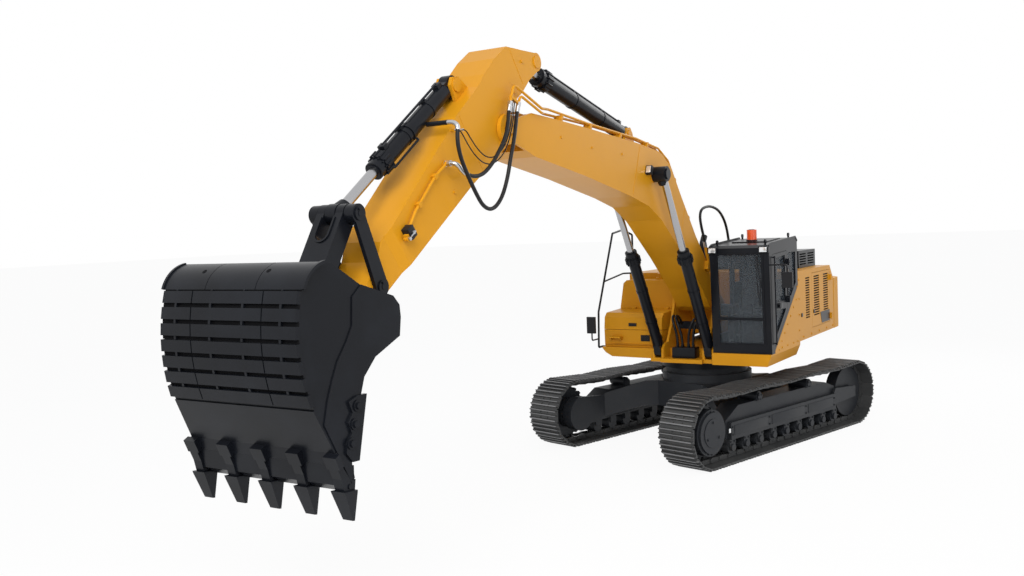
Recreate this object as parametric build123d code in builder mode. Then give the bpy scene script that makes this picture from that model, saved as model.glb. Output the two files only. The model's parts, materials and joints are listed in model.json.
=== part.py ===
from build123d import *
import math
import os

os.makedirs("parts", exist_ok=True)

# Crawler excavator of the 35 t class, millimetres.
# Row frame: X towards the bucket, Y to the machine's left, Z up, ground at Z 0.

# Where the frames of the machine stand, as parked
swing_x = -3385
park_swing_deg = 14.4
foot_x, foot_z = 317, 2177
boom_deg = 22.1
boom_length = 6400
arm_deg = -35.8
arm_length = 3200

# Fits and gaps
pin_fit = 0.05
seat = 0.3
door_gap = 6
hinge_r = 8

# Undercarriage
gauge = 2590
shoe_width = 600
shoe_count = 52
tumbler_x = 2030
axle_z = 530
loop_r = 500
grouser_h = 30
shoe_plate = 16
chain_r = 410
chain_width = 190
roller_r = 95
ring_r = 720
ring_top_z = 1150

# Upper structure
deck_low, deck_high = 1300, 1490
recess_z = 1360
side_low, side_high = 1520, 1625
deck_front = 1060
centre_half = 545
half_width = 1470
hood_z = 2640
house_wall = 40
cab_width = 913
cab_wall = 60
glass = 6
tail_r = 3300
tail_top = 2400
lift_x, lift_y, lift_z, lift_r, lift_half = -2850, 600, 2445, 24, 20

# Tow lug under the carbody
tow_x, tow_z, tow_r, tow_half = 810, 640, 36, 30

# Boom, arm and bucket
boom_half = 280
boom_plate = 25
boom_wall = 16
arm_half = 245
arm_tip_half = 215
arm_side_gap = 6
foot_pin_r = 60
tip_pin_r = 55
ram_pin_r = 48
link_pin_r = 45
ram_y = 420
link_half = 155
ear_thick = 40
lip_half = 861
flank_taper = 5.2
mouth_deg = 28.7
bucket_side = 35
bucket_shell = 28
strip_thick = 30
tooth_spacing = 404
hose_r = 21
thin_hose_r = 6.5
rear_hose_y = 310
hose_start_r, hose_start_deg = 1000, 68
rear_post_x, rear_post_z = -380, 2700


def rotated(x, z, degrees):
    """Point x, z of a pitched frame, seen in the level one."""
    c = math.cos(math.radians(degrees))
    s = math.sin(math.radians(degrees))
    return x * c - z * s, x * s + z * c


def pitched_frame(x, z, degrees, y=0):
    """Frame whose X is pitched up by some degrees about the machine's cross axis."""
    return Location((x, y, z), (0, -degrees, 0))


def between(start, end):
    """Frame at one pin with its X to another pin, both as x, z, and their distance."""
    run, rise = end[0] - start[0], end[1] - start[1]
    return pitched_frame(*start, math.degrees(math.atan2(rise, run))), math.hypot(run, rise)


def keep(piece, name, frame=Location()):
    """Put a finished piece at its place in the row's frame and write its file."""
    placed = frame * piece
    placed.label = name
    export_step(placed, f"parts/{name}.step")


def slab(outline, y_low, y_high, grow=0):
    """Plate with a side outline of x, z points, from one y to another."""
    with BuildPart() as plate:
        with BuildSketch(Plane.XZ.offset(-y_high)):
            with BuildLine():
                Polyline(*outline, close=True)
            make_face()
            if grow:
                offset(amount=grow, kind=Kind.INTERSECTION)
        extrude(amount=y_high - y_low)
    return plate.part


def tread(outline, z_low, z_high):
    """Plate with a plan outline of x, y points, from one height to another."""
    with BuildPart() as plate:
        with BuildSketch(Plane.XY.offset(z_low)):
            with BuildLine():
                Polyline(*outline, close=True)
            make_face()
        extrude(amount=z_high - z_low)
    return plate.part


def block(x_low, x_high, y_low, y_high, z_low, z_high):
    """Block between two corners."""
    with BuildPart(Plane((x_low, y_low, z_low))) as body:
        Box(x_high - x_low, y_high - y_low, z_high - z_low, align=(Align.MIN, Align.MIN, Align.MIN))
    return body.part


def drum(x, z, radius, y_low, y_high):
    """Round drum, boss or pin along the machine's cross axis."""
    with BuildPart() as body:
        with BuildSketch(Plane.XZ.offset(-y_high)):
            with Locations((x, z)):
                Circle(radius)
        extrude(amount=y_high - y_low)
    return body.part


def post(x, y, radius, z_low, z_high):
    """Upright round post."""
    with BuildPart() as rod:
        with BuildSketch(Plane.XY.offset(z_low)):
            with Locations((x, y)):
                Circle(radius)
        extrude(amount=z_high - z_low)
    return rod.part


def tube_run(points, radius, bend):
    """Round bar or pipe along a bent line of points."""
    with BuildPart() as bar:
        with BuildLine() as route:
            FilletPolyline(*points, radius=bend)
        with BuildSketch(Plane(route.wire() @ 0, z_dir=route.wire() % 0)):
            Circle(radius)
        sweep()
    return bar.part


def beam(outline, x_low, x_high):
    """Bar along the machine with a front view outline of y, z points."""
    with BuildPart() as bar:
        with BuildSketch(Plane.YZ.offset(x_low)):
            with BuildLine():
                Polyline(*outline, close=True)
            make_face()
        extrude(amount=x_high - x_low)
    return bar.part


def upright_lugs(x, y, y_face, rows):
    """Hinge pins on an upright axis with their lugs, standing off a wall's outer face."""
    out = 1 if y > y_face else -1
    with BuildPart() as lugs:
        for z in rows:
            add(post(x, y, hinge_r, z - 50, z + 50))
            for low in (z - 50, z + 31):
                add(block(x - 45, x + 14, *sorted((y_face + out * 6, y + out * 14)), low, low + 19))
                add(block(x - 45, x - 8, *sorted((y_face - out, y_face + out * 7)), low, low + 19))
    return lugs.part


def upright_knuckles(x, y, y_face, rows):
    """Knuckles that turn on those pins, with a leaf down to the door's face."""
    out = 1 if y > y_face else -1
    with BuildPart() as knuckles:
        for z in rows:
            add(post(x, y, 14, z - 30, z + 30))
            add(block(x + 1, x + 14, *sorted((y_face - out, y)), z - 30, z + 30))
            add(post(x, y, hinge_r + pin_fit, z - 31, z + 31), mode=Mode.SUBTRACT)
    return knuckles.part


# Pins of the working equipment in the row frame, as x, z
foot = (swing_x + foot_x, foot_z)
tip_run = rotated(boom_length, 0, boom_deg)
tip = (foot[0] + tip_run[0], foot[1] + tip_run[1])
bucket_run = rotated(arm_length, 0, arm_deg)
bucket_pin = (tip[0] + bucket_run[0], tip[1] + bucket_run[1])


def on_boom(x, z):
    """Boom point in the row frame."""
    turned = rotated(x, z, boom_deg)
    return foot[0] + turned[0], foot[1] + turned[1]


def on_arm(x, z):
    """Arm point in the row frame."""
    turned = rotated(x, z, arm_deg)
    return tip[0] + turned[0], tip[1] + turned[1]


ram_foot_x, ram_foot_z = 907, 1479
boom_ram_base = (swing_x + ram_foot_x, ram_foot_z)
boom_ram_head_at = (2766, 1032)
arm_ram_base_at = (3320, 1419)
arm_ram_head_at = (-1063, 229)
bucket_ram_base_at = (294, 742)
guide_pin_at = (arm_length - 516, 21)
link_pin = on_arm(arm_length - 686.6, 725.2)
bucket_link_at = (208, 433)

undercarriage_at = Location((swing_x, 0, 0), (0, 0, -park_swing_deg))
house_at = Location((swing_x, 0, 0))
boom_at = pitched_frame(*foot, boom_deg)
arm_at = pitched_frame(*tip, arm_deg)
bucket_at = pitched_frame(*bucket_pin, 0)


# Track loops: the shoes stand on a closed line of straights and two half circles
# Sag of the upper run: x along the track, drop below the tumblers' tangent
sag_table = [(1300, 34), (700, 14), (0, 40), (-700, 14), (-1350, 34)]


def loop_edges(radius):
    """Lines and arcs of one closed turn round both tumblers, sagging on top."""
    Line((-tumbler_x, axle_z - radius), (tumbler_x, axle_z - radius))
    CenterArc((tumbler_x, axle_z), radius, -90, 180)
    Polyline(
        (tumbler_x, axle_z + radius),
        *[(x, axle_z + radius - drop) for x, drop in sag_table],
        (-tumbler_x, axle_z + radius),
    )
    CenterArc((-tumbler_x, axle_z), radius, 90, 180)


with BuildLine(Plane.XZ) as shoe_line:
    loop_edges(loop_r)
loop_wire = shoe_line.wire()
shoe_pitch = loop_wire.length / shoe_count

# One shoe: share of its pitch along the loop, share of the grouser's height over its plate
grouser_table = [
    (0.10, 0), (0.14, 1), (0.20, 1), (0.24, 0),
    (0.45, 0), (0.48, 1), (0.53, 1), (0.56, 0),
    (0.77, 0), (0.81, 1), (0.87, 1), (0.91, 0),
]


def loop_point(along, height):
    """Point over the loop's line as x, z, at a distance along it."""
    share = (along / loop_wire.length) % 1
    spot = loop_wire @ share
    heading = loop_wire % share
    return spot.X + heading.Z * height, spot.Z - heading.X * height


shoe_outline = [
    loop_point((shoe + share) * shoe_pitch, rise * grouser_h)
    for shoe in range(shoe_count)
    for share, rise in grouser_table
]


def loop_slab(radius, y_mid, width):
    """Solid filling a loop line, across a width."""
    with BuildPart() as filling:
        with BuildSketch(Plane.XZ.offset(-y_mid - width / 2)):
            with BuildLine():
                loop_edges(radius)
            make_face()
        extrude(amount=width)
    return filling.part


def track(y_mid):
    """Closed track: grousered shoes with the link chain inside."""
    with BuildPart() as belt:
        add(slab(shoe_outline, y_mid - shoe_width / 2, y_mid + shoe_width / 2))
        add(loop_slab(loop_r - shoe_plate, y_mid, shoe_width + 2), mode=Mode.SUBTRACT)
        add(loop_slab(loop_r - shoe_plate + 4, y_mid, chain_width))
        add(loop_slab(chain_r, y_mid, chain_width + 2), mode=Mode.SUBTRACT)
    return belt.part


# Track frame outlines, x and z
frame_outline = [
    (1540, 330), (1540, 600), (1200, 790), (-1250, 790), (-1540, 690), (-1540, 330),
]
ledge_outline = [(1480, 330), (1480, 580), (-1480, 580), (-1480, 330)]
fork_outline = [
    (1200, 330), (1560, 300), (1900, 290), (2030, 270), (2290, 530), (2030, 790), (1700, 740), (1200, 700),
]
yoke_outline = [(-1440, 400), (-1440, 570), (-1500, 660), (-2150, 620), (-2150, 440)]
roller_rows = [-1440 + 360 * step for step in range(9)]
carrier_rows = [700, -700]


def mirrored(piece, side):
    """Piece of the left track, or its mirror image for the right one."""
    return piece if side > 0 else mirror(piece, about=Plane.XZ)


def track_frame():
    """Left side frame with track rollers, carrier rollers and both end forks."""
    middle = gauge / 2
    with BuildPart() as frame:
        add(slab(frame_outline, middle - 190, middle + 120))
        add(slab(ledge_outline, middle + 119, middle + 185))
        add(slab(fork_outline, middle - 190, middle - 130))
        for fork in (middle - 175, middle + 135):
            add(slab(yoke_outline, fork, fork + 40))
        for x in roller_rows:
            add(drum(x, axle_z - chain_r + roller_r + seat, roller_r, middle - 150, middle + 150))
            add(block(x - 70, x + 70, middle - 175, middle + 175, 230, 331))
        for x in carrier_rows:
            top_z = axle_z + chain_r - 14
            add(drum(x, top_z - 75 - 2, 75, middle - 150, middle + 150))
            add(block(x - 45, x + 45, middle - 190, middle - 145, 780, top_z - 40))
    return frame.part


def sprocket():
    """Left toothed tumbler with the round final drive cover on its outer face."""
    middle = gauge / 2
    with BuildPart() as wheel:
        add(drum(tumbler_x, axle_z, 372, middle - 40, middle + 40))
        with BuildSketch(Plane.XZ.offset(-middle - 40)):
            with Locations((tumbler_x, axle_z)):
                with PolarLocations(385, 21):
                    Rectangle(46, 50)
        extrude(amount=80)
        add(drum(tumbler_x, axle_z, 330, middle + 39, middle + 230))
        add(drum(tumbler_x, axle_z, 290, middle + 229, middle + 262))
        add(drum(tumbler_x, axle_z, 240, middle - 130 + seat, middle - 39))
    return wheel.part


def idler():
    """Left smooth idler wheel with its hub between the rear yoke's plates."""
    middle = gauge / 2
    with BuildPart() as wheel:
        add(drum(-tumbler_x, axle_z, chain_r - 2, middle - 90, middle + 90))
        add(drum(-tumbler_x, axle_z, 110, middle - 135 + seat, middle + 135 - seat))
    return wheel.part


inner_face = gauge / 2 - 190
for side_name, side in [("left", 1), ("right", -1)]:
    keep(track(side * gauge / 2), f"track_{side_name}", undercarriage_at)
    keep(mirrored(track_frame(), side), f"track_frame_{side_name}", undercarriage_at)
    keep(mirrored(sprocket(), side), f"sprocket_{side_name}", undercarriage_at)
    keep(mirrored(idler(), side), f"idler_{side_name}", undercarriage_at)
    guard = drum(tumbler_x, axle_z, 265, inner_face - 170, inner_face - seat)
    keep(mirrored(guard, side), f"motor_guard_{side_name}", undercarriage_at)

# Carbody: cross shaped in plan, arched in the front view, with the lower swing ring
leg_end = inner_face - seat
leg_plan = [
    (-1300, -leg_end), (-700, -leg_end), (-350, -700), (350, -700), (700, -leg_end), (1300, -leg_end),
    (720, -450), (720, 450), (1300, leg_end), (700, leg_end), (350, 700), (-350, 700),
    (-700, leg_end), (-1300, leg_end), (-720, 450), (-720, -450),
]
arch_front = [
    (-leg_end, 350), (-leg_end, 740), (-600, 930), (600, 930), (leg_end, 740), (leg_end, 350),
    (650, 520), (-650, 520),
]
with BuildPart() as carbody:
    add(tread(leg_plan, 300, 960))
    add(beam(arch_front, -1400, 1400), mode=Mode.INTERSECT)
    add(post(0, 0, ring_r, 700, ring_top_z - 90))
    add(post(0, 0, ring_r - 60, 700, ring_top_z + 20))
    add(tread([(600, -110), (800, -110), (900, -60), (900, 60), (800, 110), (600, 110)],
              tow_z - tow_half, tow_z + tow_half))
    add(post(tow_x, 0, tow_r, tow_z - tow_half - 1, tow_z + tow_half + 1), mode=Mode.SUBTRACT)
keep(carbody.part, "carbody", undercarriage_at)

# Revolving frame: centre section, side sills, boom brackets and the boom cylinders' feet
front_plan = [
    (690, -centre_half), (690, centre_half), (985, centre_half), (985, 345), (deck_front, 345),
    (deck_front, -345), (985, -345), (985, -centre_half),
]
cab_sill = [
    (centre_half, deck_low + 10), (1400, deck_low + 10), (half_width - 5, deck_high - 20),
    (half_width - 5, deck_high), (centre_half, deck_high),
]
box_sill = [
    (-centre_half, deck_low + 30), (-1280, deck_low + 40), (-1400, 1405), (-half_width + 15, 1470),
    (-half_width + 15, deck_high), (-centre_half, deck_high),
]
tail_sill = [
    (-2330, side_low), (-300, side_low), (-300, deck_high - 20), (-240, deck_high - 20), (-240, side_high),
    (-2330, side_high),
]
bracket_outline = [
    (-230, deck_high - 5), (-230, 1870), (130, 2230), (200, 2300), (foot_x, 2330), (440, 2290), (480, 2180),
    (620, 1850), (780, 1590), (ram_foot_x, 1580), (980, 1500), (980, recess_z - 20), (690, recess_z - 20),
]
foot_ear = [(800, recess_z - 20), (800, 1500), (ram_foot_x, 1590), (985, 1500), (985, recess_z - 20)]
with BuildPart() as revolving_frame:
    add(block(-2330, 700, -centre_half, centre_half, deck_low, deck_high))
    add(block(-2300, 660, -centre_half + 30, centre_half - 30, deck_low + 30, deck_high - 25),
        mode=Mode.SUBTRACT)
    add(tread(front_plan, deck_low, recess_z))
    add(beam(cab_sill, -300, 1150))
    add(block(880, 1151, 500, centre_half + 5, deck_low, deck_high + 1), mode=Mode.SUBTRACT)
    add(beam(box_sill, -300, 880))
    for low, high in ((centre_half - 10, half_width - 5), (-half_width + 15, -centre_half + 10)):
        add(slab(tail_sill, low, high))
        add(block(-2300, -330, low + 30, high - 30, side_low + 25, side_high - 25), mode=Mode.SUBTRACT)
    for low in (-362, 325):
        add(slab(bracket_outline, low, low + 37))
    for low in (-508, 478):
        add(slab(foot_ear, low, low + 30))
    add(drum(foot_x, foot_z, foot_pin_r, -375, 375))
    for low in (-390, 361):
        add(drum(foot_x, foot_z, 110, low, low + 29))
    for low in (-520, 350):
        add(drum(ram_foot_x, ram_foot_z, ram_pin_r, low, low + 170))
keep(revolving_frame.part, "revolving_frame", house_at)

# Swing ring between the carbody's spigot and the deck
with BuildPart() as swing_ring:
    add(post(0, 0, ring_r, ring_top_z + 5, deck_low - seat))
    add(post(0, 0, ring_r - 60 + pin_fit, ring_top_z + 4, ring_top_z + 26), mode=Mode.SUBTRACT)
keep(swing_ring.part, "swing_ring", house_at)

# Counterweight: arc tail with rounded corners and two lifting eyes, hollow towards the engine
lift_eye = [
    (lift_x - 75, tail_top - 1), (lift_x - 65, lift_z), (lift_x - 35, lift_z + 48),
    (lift_x + 35, lift_z + 48), (lift_x + 65, lift_z), (lift_x + 75, tail_top - 1),
]
with BuildPart() as counterweight:
    with BuildSketch(Plane.XY.offset(side_low)):
        with BuildLine():
            Polyline((-2560, half_width), (-2330 - seat, half_width), (-2330 - seat, -half_width),
                     (-2560, -half_width))
            ThreePointArc((-2560, -half_width), (-2830, -1370), (-2980, -1120))
            ThreePointArc((-2980, -1120), (-tail_r, 0), (-2980, 1120))
            ThreePointArc((-2980, 1120), (-2830, 1370), (-2560, half_width))
        make_face()
    extrude(amount=tail_top - side_low)
    add(block(-2700, -2300, -1150, 1150, 1640, 2250), mode=Mode.SUBTRACT)
    for y in (-lift_y, lift_y):
        add(slab(lift_eye, y - lift_half, y + lift_half))
        add(drum(lift_x, lift_z, lift_r, y - lift_half - 1, y + lift_half + 1), mode=Mode.SUBTRACT)
keep(counterweight.part, "counterweight", house_at)

# Engine house: walls with openings for the side doors and the hood
house_base = side_high + seat
house_left, house_right = half_width - 5, -half_width + 10
house_outline = [
    (-2330, house_base), (-2330, 2390), (-2110, hood_z), (-240, hood_z), (-240, house_base),
]
door_x = (-2090, -1000)
door_z = (1665, 2570)
door_rows = [1760, 2430]
hood_x, hood_y = (-2060, -1040), (-560, 1240)
hood_top = 2930
hood_axis = (hood_x[1] + 37, hood_z + 25)
hood_rows = [-300, 800]
# Louvre groups: x of both ends, lowest z, rows; the front group is cut in the fixed wall
wall_louvres = (-880, -650, 1850, 17)
door_louvres = [(-1450, -1120, 1850, 17), (-1990, -1690, 1850, 17)]
louvre_pitch, louvre_open = 40, 24


def louvre_cuts(x_low, x_high, z_low, rows, y_low, y_high):
    """Row of slots to cut through a wall."""
    with BuildPart() as cuts:
        for row in range(rows):
            z = z_low + row * louvre_pitch
            add(block(x_low, x_high, y_low, y_high, z, z + louvre_open))
    return cuts.part


with BuildPart() as engine_house:
    add(slab(house_outline, house_right, house_left))
    add(slab(house_outline, house_right + house_wall, house_left - house_wall, grow=-house_wall),
        mode=Mode.SUBTRACT)
    add(block(-2331, -280, house_right + house_wall, house_left - house_wall, house_base - 1, 2200),
        mode=Mode.SUBTRACT)
    add(block(*door_x, house_left - 100, house_left + 50, *door_z), mode=Mode.SUBTRACT)
    add(block(*door_x, house_right - 50, house_right + 100, *door_z), mode=Mode.SUBTRACT)
    add(louvre_cuts(*wall_louvres, house_left - 100, house_left + 50), mode=Mode.SUBTRACT)
    add(block(hood_x[0], hood_x[1], *hood_y, hood_z - 200, hood_z + 50), mode=Mode.SUBTRACT)
    for side_y, face_y in ((house_left + 25, house_left), (house_right - 25, house_right)):
        add(upright_lugs(door_x[0] + door_gap, side_y, face_y, door_rows))
    for y in hood_rows:
        add(drum(*hood_axis, hinge_r, y - 50, y + 50))
        for low in (y - 50, y + 31):
            add(block(hood_axis[0] - 14, hood_axis[0] + 45, low, low + 19, hood_z + 6, hood_axis[1] + 14))
            add(block(hood_axis[0] + 12, hood_axis[0] + 45, low, low + 19, hood_z - 1, hood_z + 7))
    add(post(rear_post_x, rear_hose_y, hose_r + 4, hood_z - 1, rear_post_z))
keep(engine_house.part, "engine_house", house_at)
keep(block(-2050, -950, -450, 450, deck_high + seat, 2250), "engine_block", house_at)

for door_name, y_low in [("engine_door_left", house_left - house_wall), ("engine_door_right", house_right)]:
    with BuildPart() as engine_door:
        add(block(door_x[0] + door_gap, door_x[1] - door_gap, y_low, y_low + house_wall,
                  door_z[0] + door_gap, door_z[1] - door_gap))
        for group in door_louvres:
            add(louvre_cuts(*group, y_low - 10, y_low + house_wall + 10), mode=Mode.SUBTRACT)
        out_y, face_y = (house_left + 25, house_left) if y_low > 0 else (house_right - 25, house_right)
        add(upright_knuckles(door_x[0] + door_gap, out_y, face_y, door_rows))
    keep(engine_door.part, door_name, house_at)

# Hood: raised box whose long sides are slotted
hood_plate = 30
slot_groups = [(-1960, -1600), (-1500, -1140)]
with BuildPart() as hood:
    add(block(hood_x[0] + door_gap, hood_x[1] - door_gap, hood_y[0] + door_gap, hood_y[1] - door_gap,
              hood_z - house_wall, hood_z))
    add(block(hood_x[0] + door_gap, hood_x[1] - 50, hood_y[0] + 40, hood_y[1] - door_gap,
              hood_z - 1, hood_top))
    add(block(hood_x[0] + hood_plate, hood_x[1] - 80, hood_y[0] + 70, hood_y[1] - hood_plate - door_gap,
              hood_z - 60, hood_top - hood_plate), mode=Mode.SUBTRACT)
    for x_low, x_high in slot_groups:
        for row in range(5):
            slot_z = 2690 + row * 42
            add(block(x_low, x_high, hood_y[0] - 50, hood_y[1] + 50, slot_z, slot_z + 22), mode=Mode.SUBTRACT)
    for y in hood_rows:
        add(drum(*hood_axis, 14, y - 30, y + 30))
        add(block(hood_x[1] - 60, hood_x[1] - door_gap - 3, y - 30, y + 30, hood_z - 1, hood_z + 8))
        add(block(hood_x[1] - 60, hood_axis[0] - 4, y - 30, y + 30, hood_z + 7, hood_axis[1]))
        add(drum(*hood_axis, hinge_r + pin_fit, y - 31, y + 31), mode=Mode.SUBTRACT)
keep(hood.part, "hood", house_at)
keep(tube_run([(-600, -250, hood_z + seat), (-600, -250, 3120), (-690, -250, 3230)], 52, 60),
     "exhaust_pipe", house_at)

# Cab: shell, door and panes
cab_left = half_width - 5
cab_right = cab_left - cab_width
cab_middle = (cab_right + cab_left) / 2
cab_skin = cab_left - 41
cab_outline = [
    (1100, deck_high + seat), (1150, 3070), (1060, 3110), (-150, 3180), (-234, 3120), (-234, 2420),
    (960, 1530), (960, deck_high + seat),
]
cab_box = [
    (1100, deck_high + seat), (1150, 3070), (1060, 3110), (-150, 3180), (-234, 3120),
    (-234, deck_high + seat),
]
cab_inside = [(1045, 1550), (1090, 3020), (1040, 3050), (-130, 3115), (-175, 3080), (-175, 1550)]
door_outline = [(950, 1600), (985, 2960), (330, 2990), (330, 2072)]
door_upper_window = [(908, 2240), (925, 2900), (400, 2930), (400, 2240)]
door_lower_window = [(898, 1720), (906, 2120), (408, 2120), (408, 2090)]
rear_window = [(260, 2190), (260, 2960), (-130, 2960), (-130, 2480)]
pane_y = (cab_right + 108, cab_left - 105)
rear_pane_y = (cab_right + 128, cab_left - 125)
rear_pane_z = (2520, 3000)
right_window_top = 2960
# Right side windows: x of both ends and lowest z; front panes: name and z of both ends
right_windows = [(330, 960, 1750), (-130, 250, 2500)]
front_panes = [("lower", 1640, 2005), ("upper", 2025, 2980)]
cab_door_rows = [2250, 2820]
with BuildPart() as cab_shell:
    add(slab(cab_box, cab_right, cab_skin))
    add(slab(cab_outline, cab_skin - 1, cab_left))
    add(slab(cab_inside, cab_right + cab_wall, cab_skin - 40), mode=Mode.SUBTRACT)
    add(slab(door_outline, cab_left - 200, cab_left + 50, grow=door_gap), mode=Mode.SUBTRACT)
    add(slab(rear_window, cab_left - 200, cab_left + 50), mode=Mode.SUBTRACT)
    for x_low, x_high, z_low in right_windows:
        add(block(x_low, x_high, cab_right - 50, cab_right + 200, z_low, right_window_top),
            mode=Mode.SUBTRACT)
    add(block(-400, 0, *rear_pane_y, *rear_pane_z), mode=Mode.SUBTRACT)
    for pane_name, pane_low, pane_high in front_panes:
        add(block(1000, 1200, *pane_y, pane_low, pane_high), mode=Mode.SUBTRACT)
    add(upright_lugs(330, cab_left + 35, cab_left, cab_door_rows))
keep(cab_shell.part, "cab_shell", house_at)

with BuildPart() as cab_door:
    add(slab(door_outline, cab_left - cab_wall, cab_left))
    for outline in (door_upper_window, door_lower_window):
        add(slab(outline, cab_left - 100, cab_left + 20), mode=Mode.SUBTRACT)
    add(block(640, 760, cab_left - 1, cab_left + 20, 2160, 2200))
    add(upright_knuckles(330, cab_left + 35, cab_left, cab_door_rows))
keep(cab_door.part, "cab_door", house_at)

pane_in = 30
with BuildPart() as door_glass:
    for outline in (door_upper_window, door_lower_window):
        add(slab(outline, cab_left - pane_in, cab_left - pane_in + glass, grow=-seat))
keep(door_glass.part, "door_glass", house_at)
keep(slab(rear_window, cab_left - pane_in, cab_left - pane_in + glass, grow=-seat),
     "side_glass_left", house_at)
with BuildPart() as side_glass_right:
    for x_low, x_high, z_low in right_windows:
        add(block(x_low + seat, x_high - seat, cab_right + 20, cab_right + 20 + glass,
                  z_low + seat, right_window_top - seat))
keep(side_glass_right.part, "side_glass_right", house_at)
keep(block(-210, -210 + glass, rear_pane_y[0] + seat, rear_pane_y[1] - seat,
           rear_pane_z[0] + seat, rear_pane_z[1] - seat), "rear_glass", house_at)
for pane_name, pane_low, pane_high in front_panes:
    lean = 50 / 1580
    x_low, x_high = 1070 + (pane_low - deck_high) * lean, 1070 + (pane_high - deck_high) * lean
    outline = [(x_low, pane_low + seat), (x_high, pane_high - seat), (x_high + glass, pane_high - seat),
               (x_low + glass, pane_low + seat)]
    keep(slab(outline, pane_y[0] + seat, pane_y[1] - seat), f"windscreen_{pane_name}", house_at)

# Cab floor is the deck; the seat and both consoles stand on it
with BuildPart() as operator_seat:
    add(slab([(250, 2070), (250, 2000), (760, 1960), (760, 2060), (390, 2100), (240, 2760), (140, 2740)],
             cab_middle - 250, cab_middle + 250))
    add(block(330, 650, cab_middle - 160, cab_middle + 160, 1550 + seat, 2000))
    for low in (-370, 260):
        add(block(360, 700, cab_middle + low, cab_middle + low + 100, 1550 + seat, 2180))
    add(block(380, 600, cab_middle - 310, cab_middle + 310, 1700, 1760))
keep(operator_seat.part, "operator_seat", house_at)

# Yellow side panel under the cab's slanted rear edge
with BuildPart() as side_panel:
    add(slab([(-239, deck_high + seat), (-239, 2416), (950, 1530), (950, deck_high + seat)],
             cab_left - 40, cab_left))
keep(side_panel.part, "side_panel_left", house_at)

# Right side: fuel tank with its filler, then the tool box with its lid in front
box_right = -half_width + 15
box_split = 1770
tank_top = 2540
lid_axis = (190, 2078)
lid_rows = [-1200, -600]
tank_front = [
    (-420, deck_high + seat), (box_right, deck_high + seat), (box_right, 2080), (box_right + 70, 2490),
    (box_right + 130, tank_top), (-420, tank_top),
]
with BuildPart() as fuel_tank:
    add(beam(tank_front, -239, 165))
    add(post(-60, -800, 75, tank_top - 1, tank_top + 35))
    add(post(-60, -800, 50, tank_top + 34, tank_top + 80))
    for y in lid_rows:
        add(drum(*lid_axis, hinge_r, y - 50, y + 50))
        for low in (y - 50, y + 31):
            add(block(164, lid_axis[0] + 14, low, low + 19, lid_axis[1] - 12, lid_axis[1] + 14))
keep(fuel_tank.part, "fuel_tank", house_at)
with BuildPart() as tool_box:
    add(slab([(166, deck_high + seat), (166, box_split), (790, box_split), (780, deck_high + seat)],
             box_right, -430))
    add(slab([(206, deck_high - 1), (206, box_split + 1), (750, box_split + 1), (740, deck_high - 1)],
             box_right + 40, -470), mode=Mode.SUBTRACT)
keep(tool_box.part, "tool_box", house_at)
with BuildPart() as tool_box_lid:
    add(slab([(172, box_split + door_gap), (172, 2060), (690, 2040), (765, 1970),
              (790, box_split + door_gap)], box_right, -430))
    add(slab([(212, box_split), (212, 2010), (680, 2000), (725, 1960), (750, box_split)],
             box_right + 40, -470), mode=Mode.SUBTRACT)
    for y in lid_rows:
        add(drum(*lid_axis, 14, y - 30, y + 30))
        add(block(lid_axis[0] + 1, lid_axis[0] + 14, y - 30, y + 30, 2050, lid_axis[1]))
        add(drum(*lid_axis, hinge_r + pin_fit, y - 31, y + 31), mode=Mode.SUBTRACT)
keep(tool_box_lid.part, "tool_box_lid", house_at)

# Handrail of the right side with its branch, mirrors and beacon
rail_y = -half_width - 50
rail_r = 17
with BuildPart() as handrail:
    add(tube_run([(744, box_right - seat, deck_high - 10), (744, rail_y, deck_high - 10), (884, rail_y, 1480),
                  (853, rail_y, 2062), (252, rail_y, 3340), (-158, rail_y, 3394),
                  (-300, rail_y + 100, 3300), (-300, rail_y + 100, hood_z + seat)], rail_r, 22))
    add(tube_run([(620, rail_y, 2548), (60, rail_y + 80, 2650), (-60, rail_y + 220, 2650),
                  (-60, rail_y + 220, tank_top + seat)], rail_r - 3, 60))
keep(handrail.part, "handrail", house_at)
with BuildPart() as mirror_right:
    add(tube_run([(878 + rail_r, rail_y, 1620), (1110, rail_y, 1620), (1110, rail_y, 1745)], 12, 30))
    add(block(1090, 1130, rail_y - 80, rail_y + 70, 1735, 2005))
keep(mirror_right.part, "mirror_right", house_at)
with BuildPart() as mirror_left:
    add(tube_run([(1120, cab_left + seat, 2815), (1120, cab_left + 255, 2815),
                  (1120, cab_left + 255, 2370)], 12, 30))
    add(block(1095, 1145, cab_left + 175, cab_left + 335, 2480, 2710))
keep(mirror_left.part, "mirror_left", house_at)
keep(post(450, 974, 75, 3150, 3330), "beacon", house_at)

# Boom: hollow box beam, forked at its tip
def near_tip(back, z):
    """Boom point measured back from its tip pin."""
    return boom_length - back, z


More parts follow.
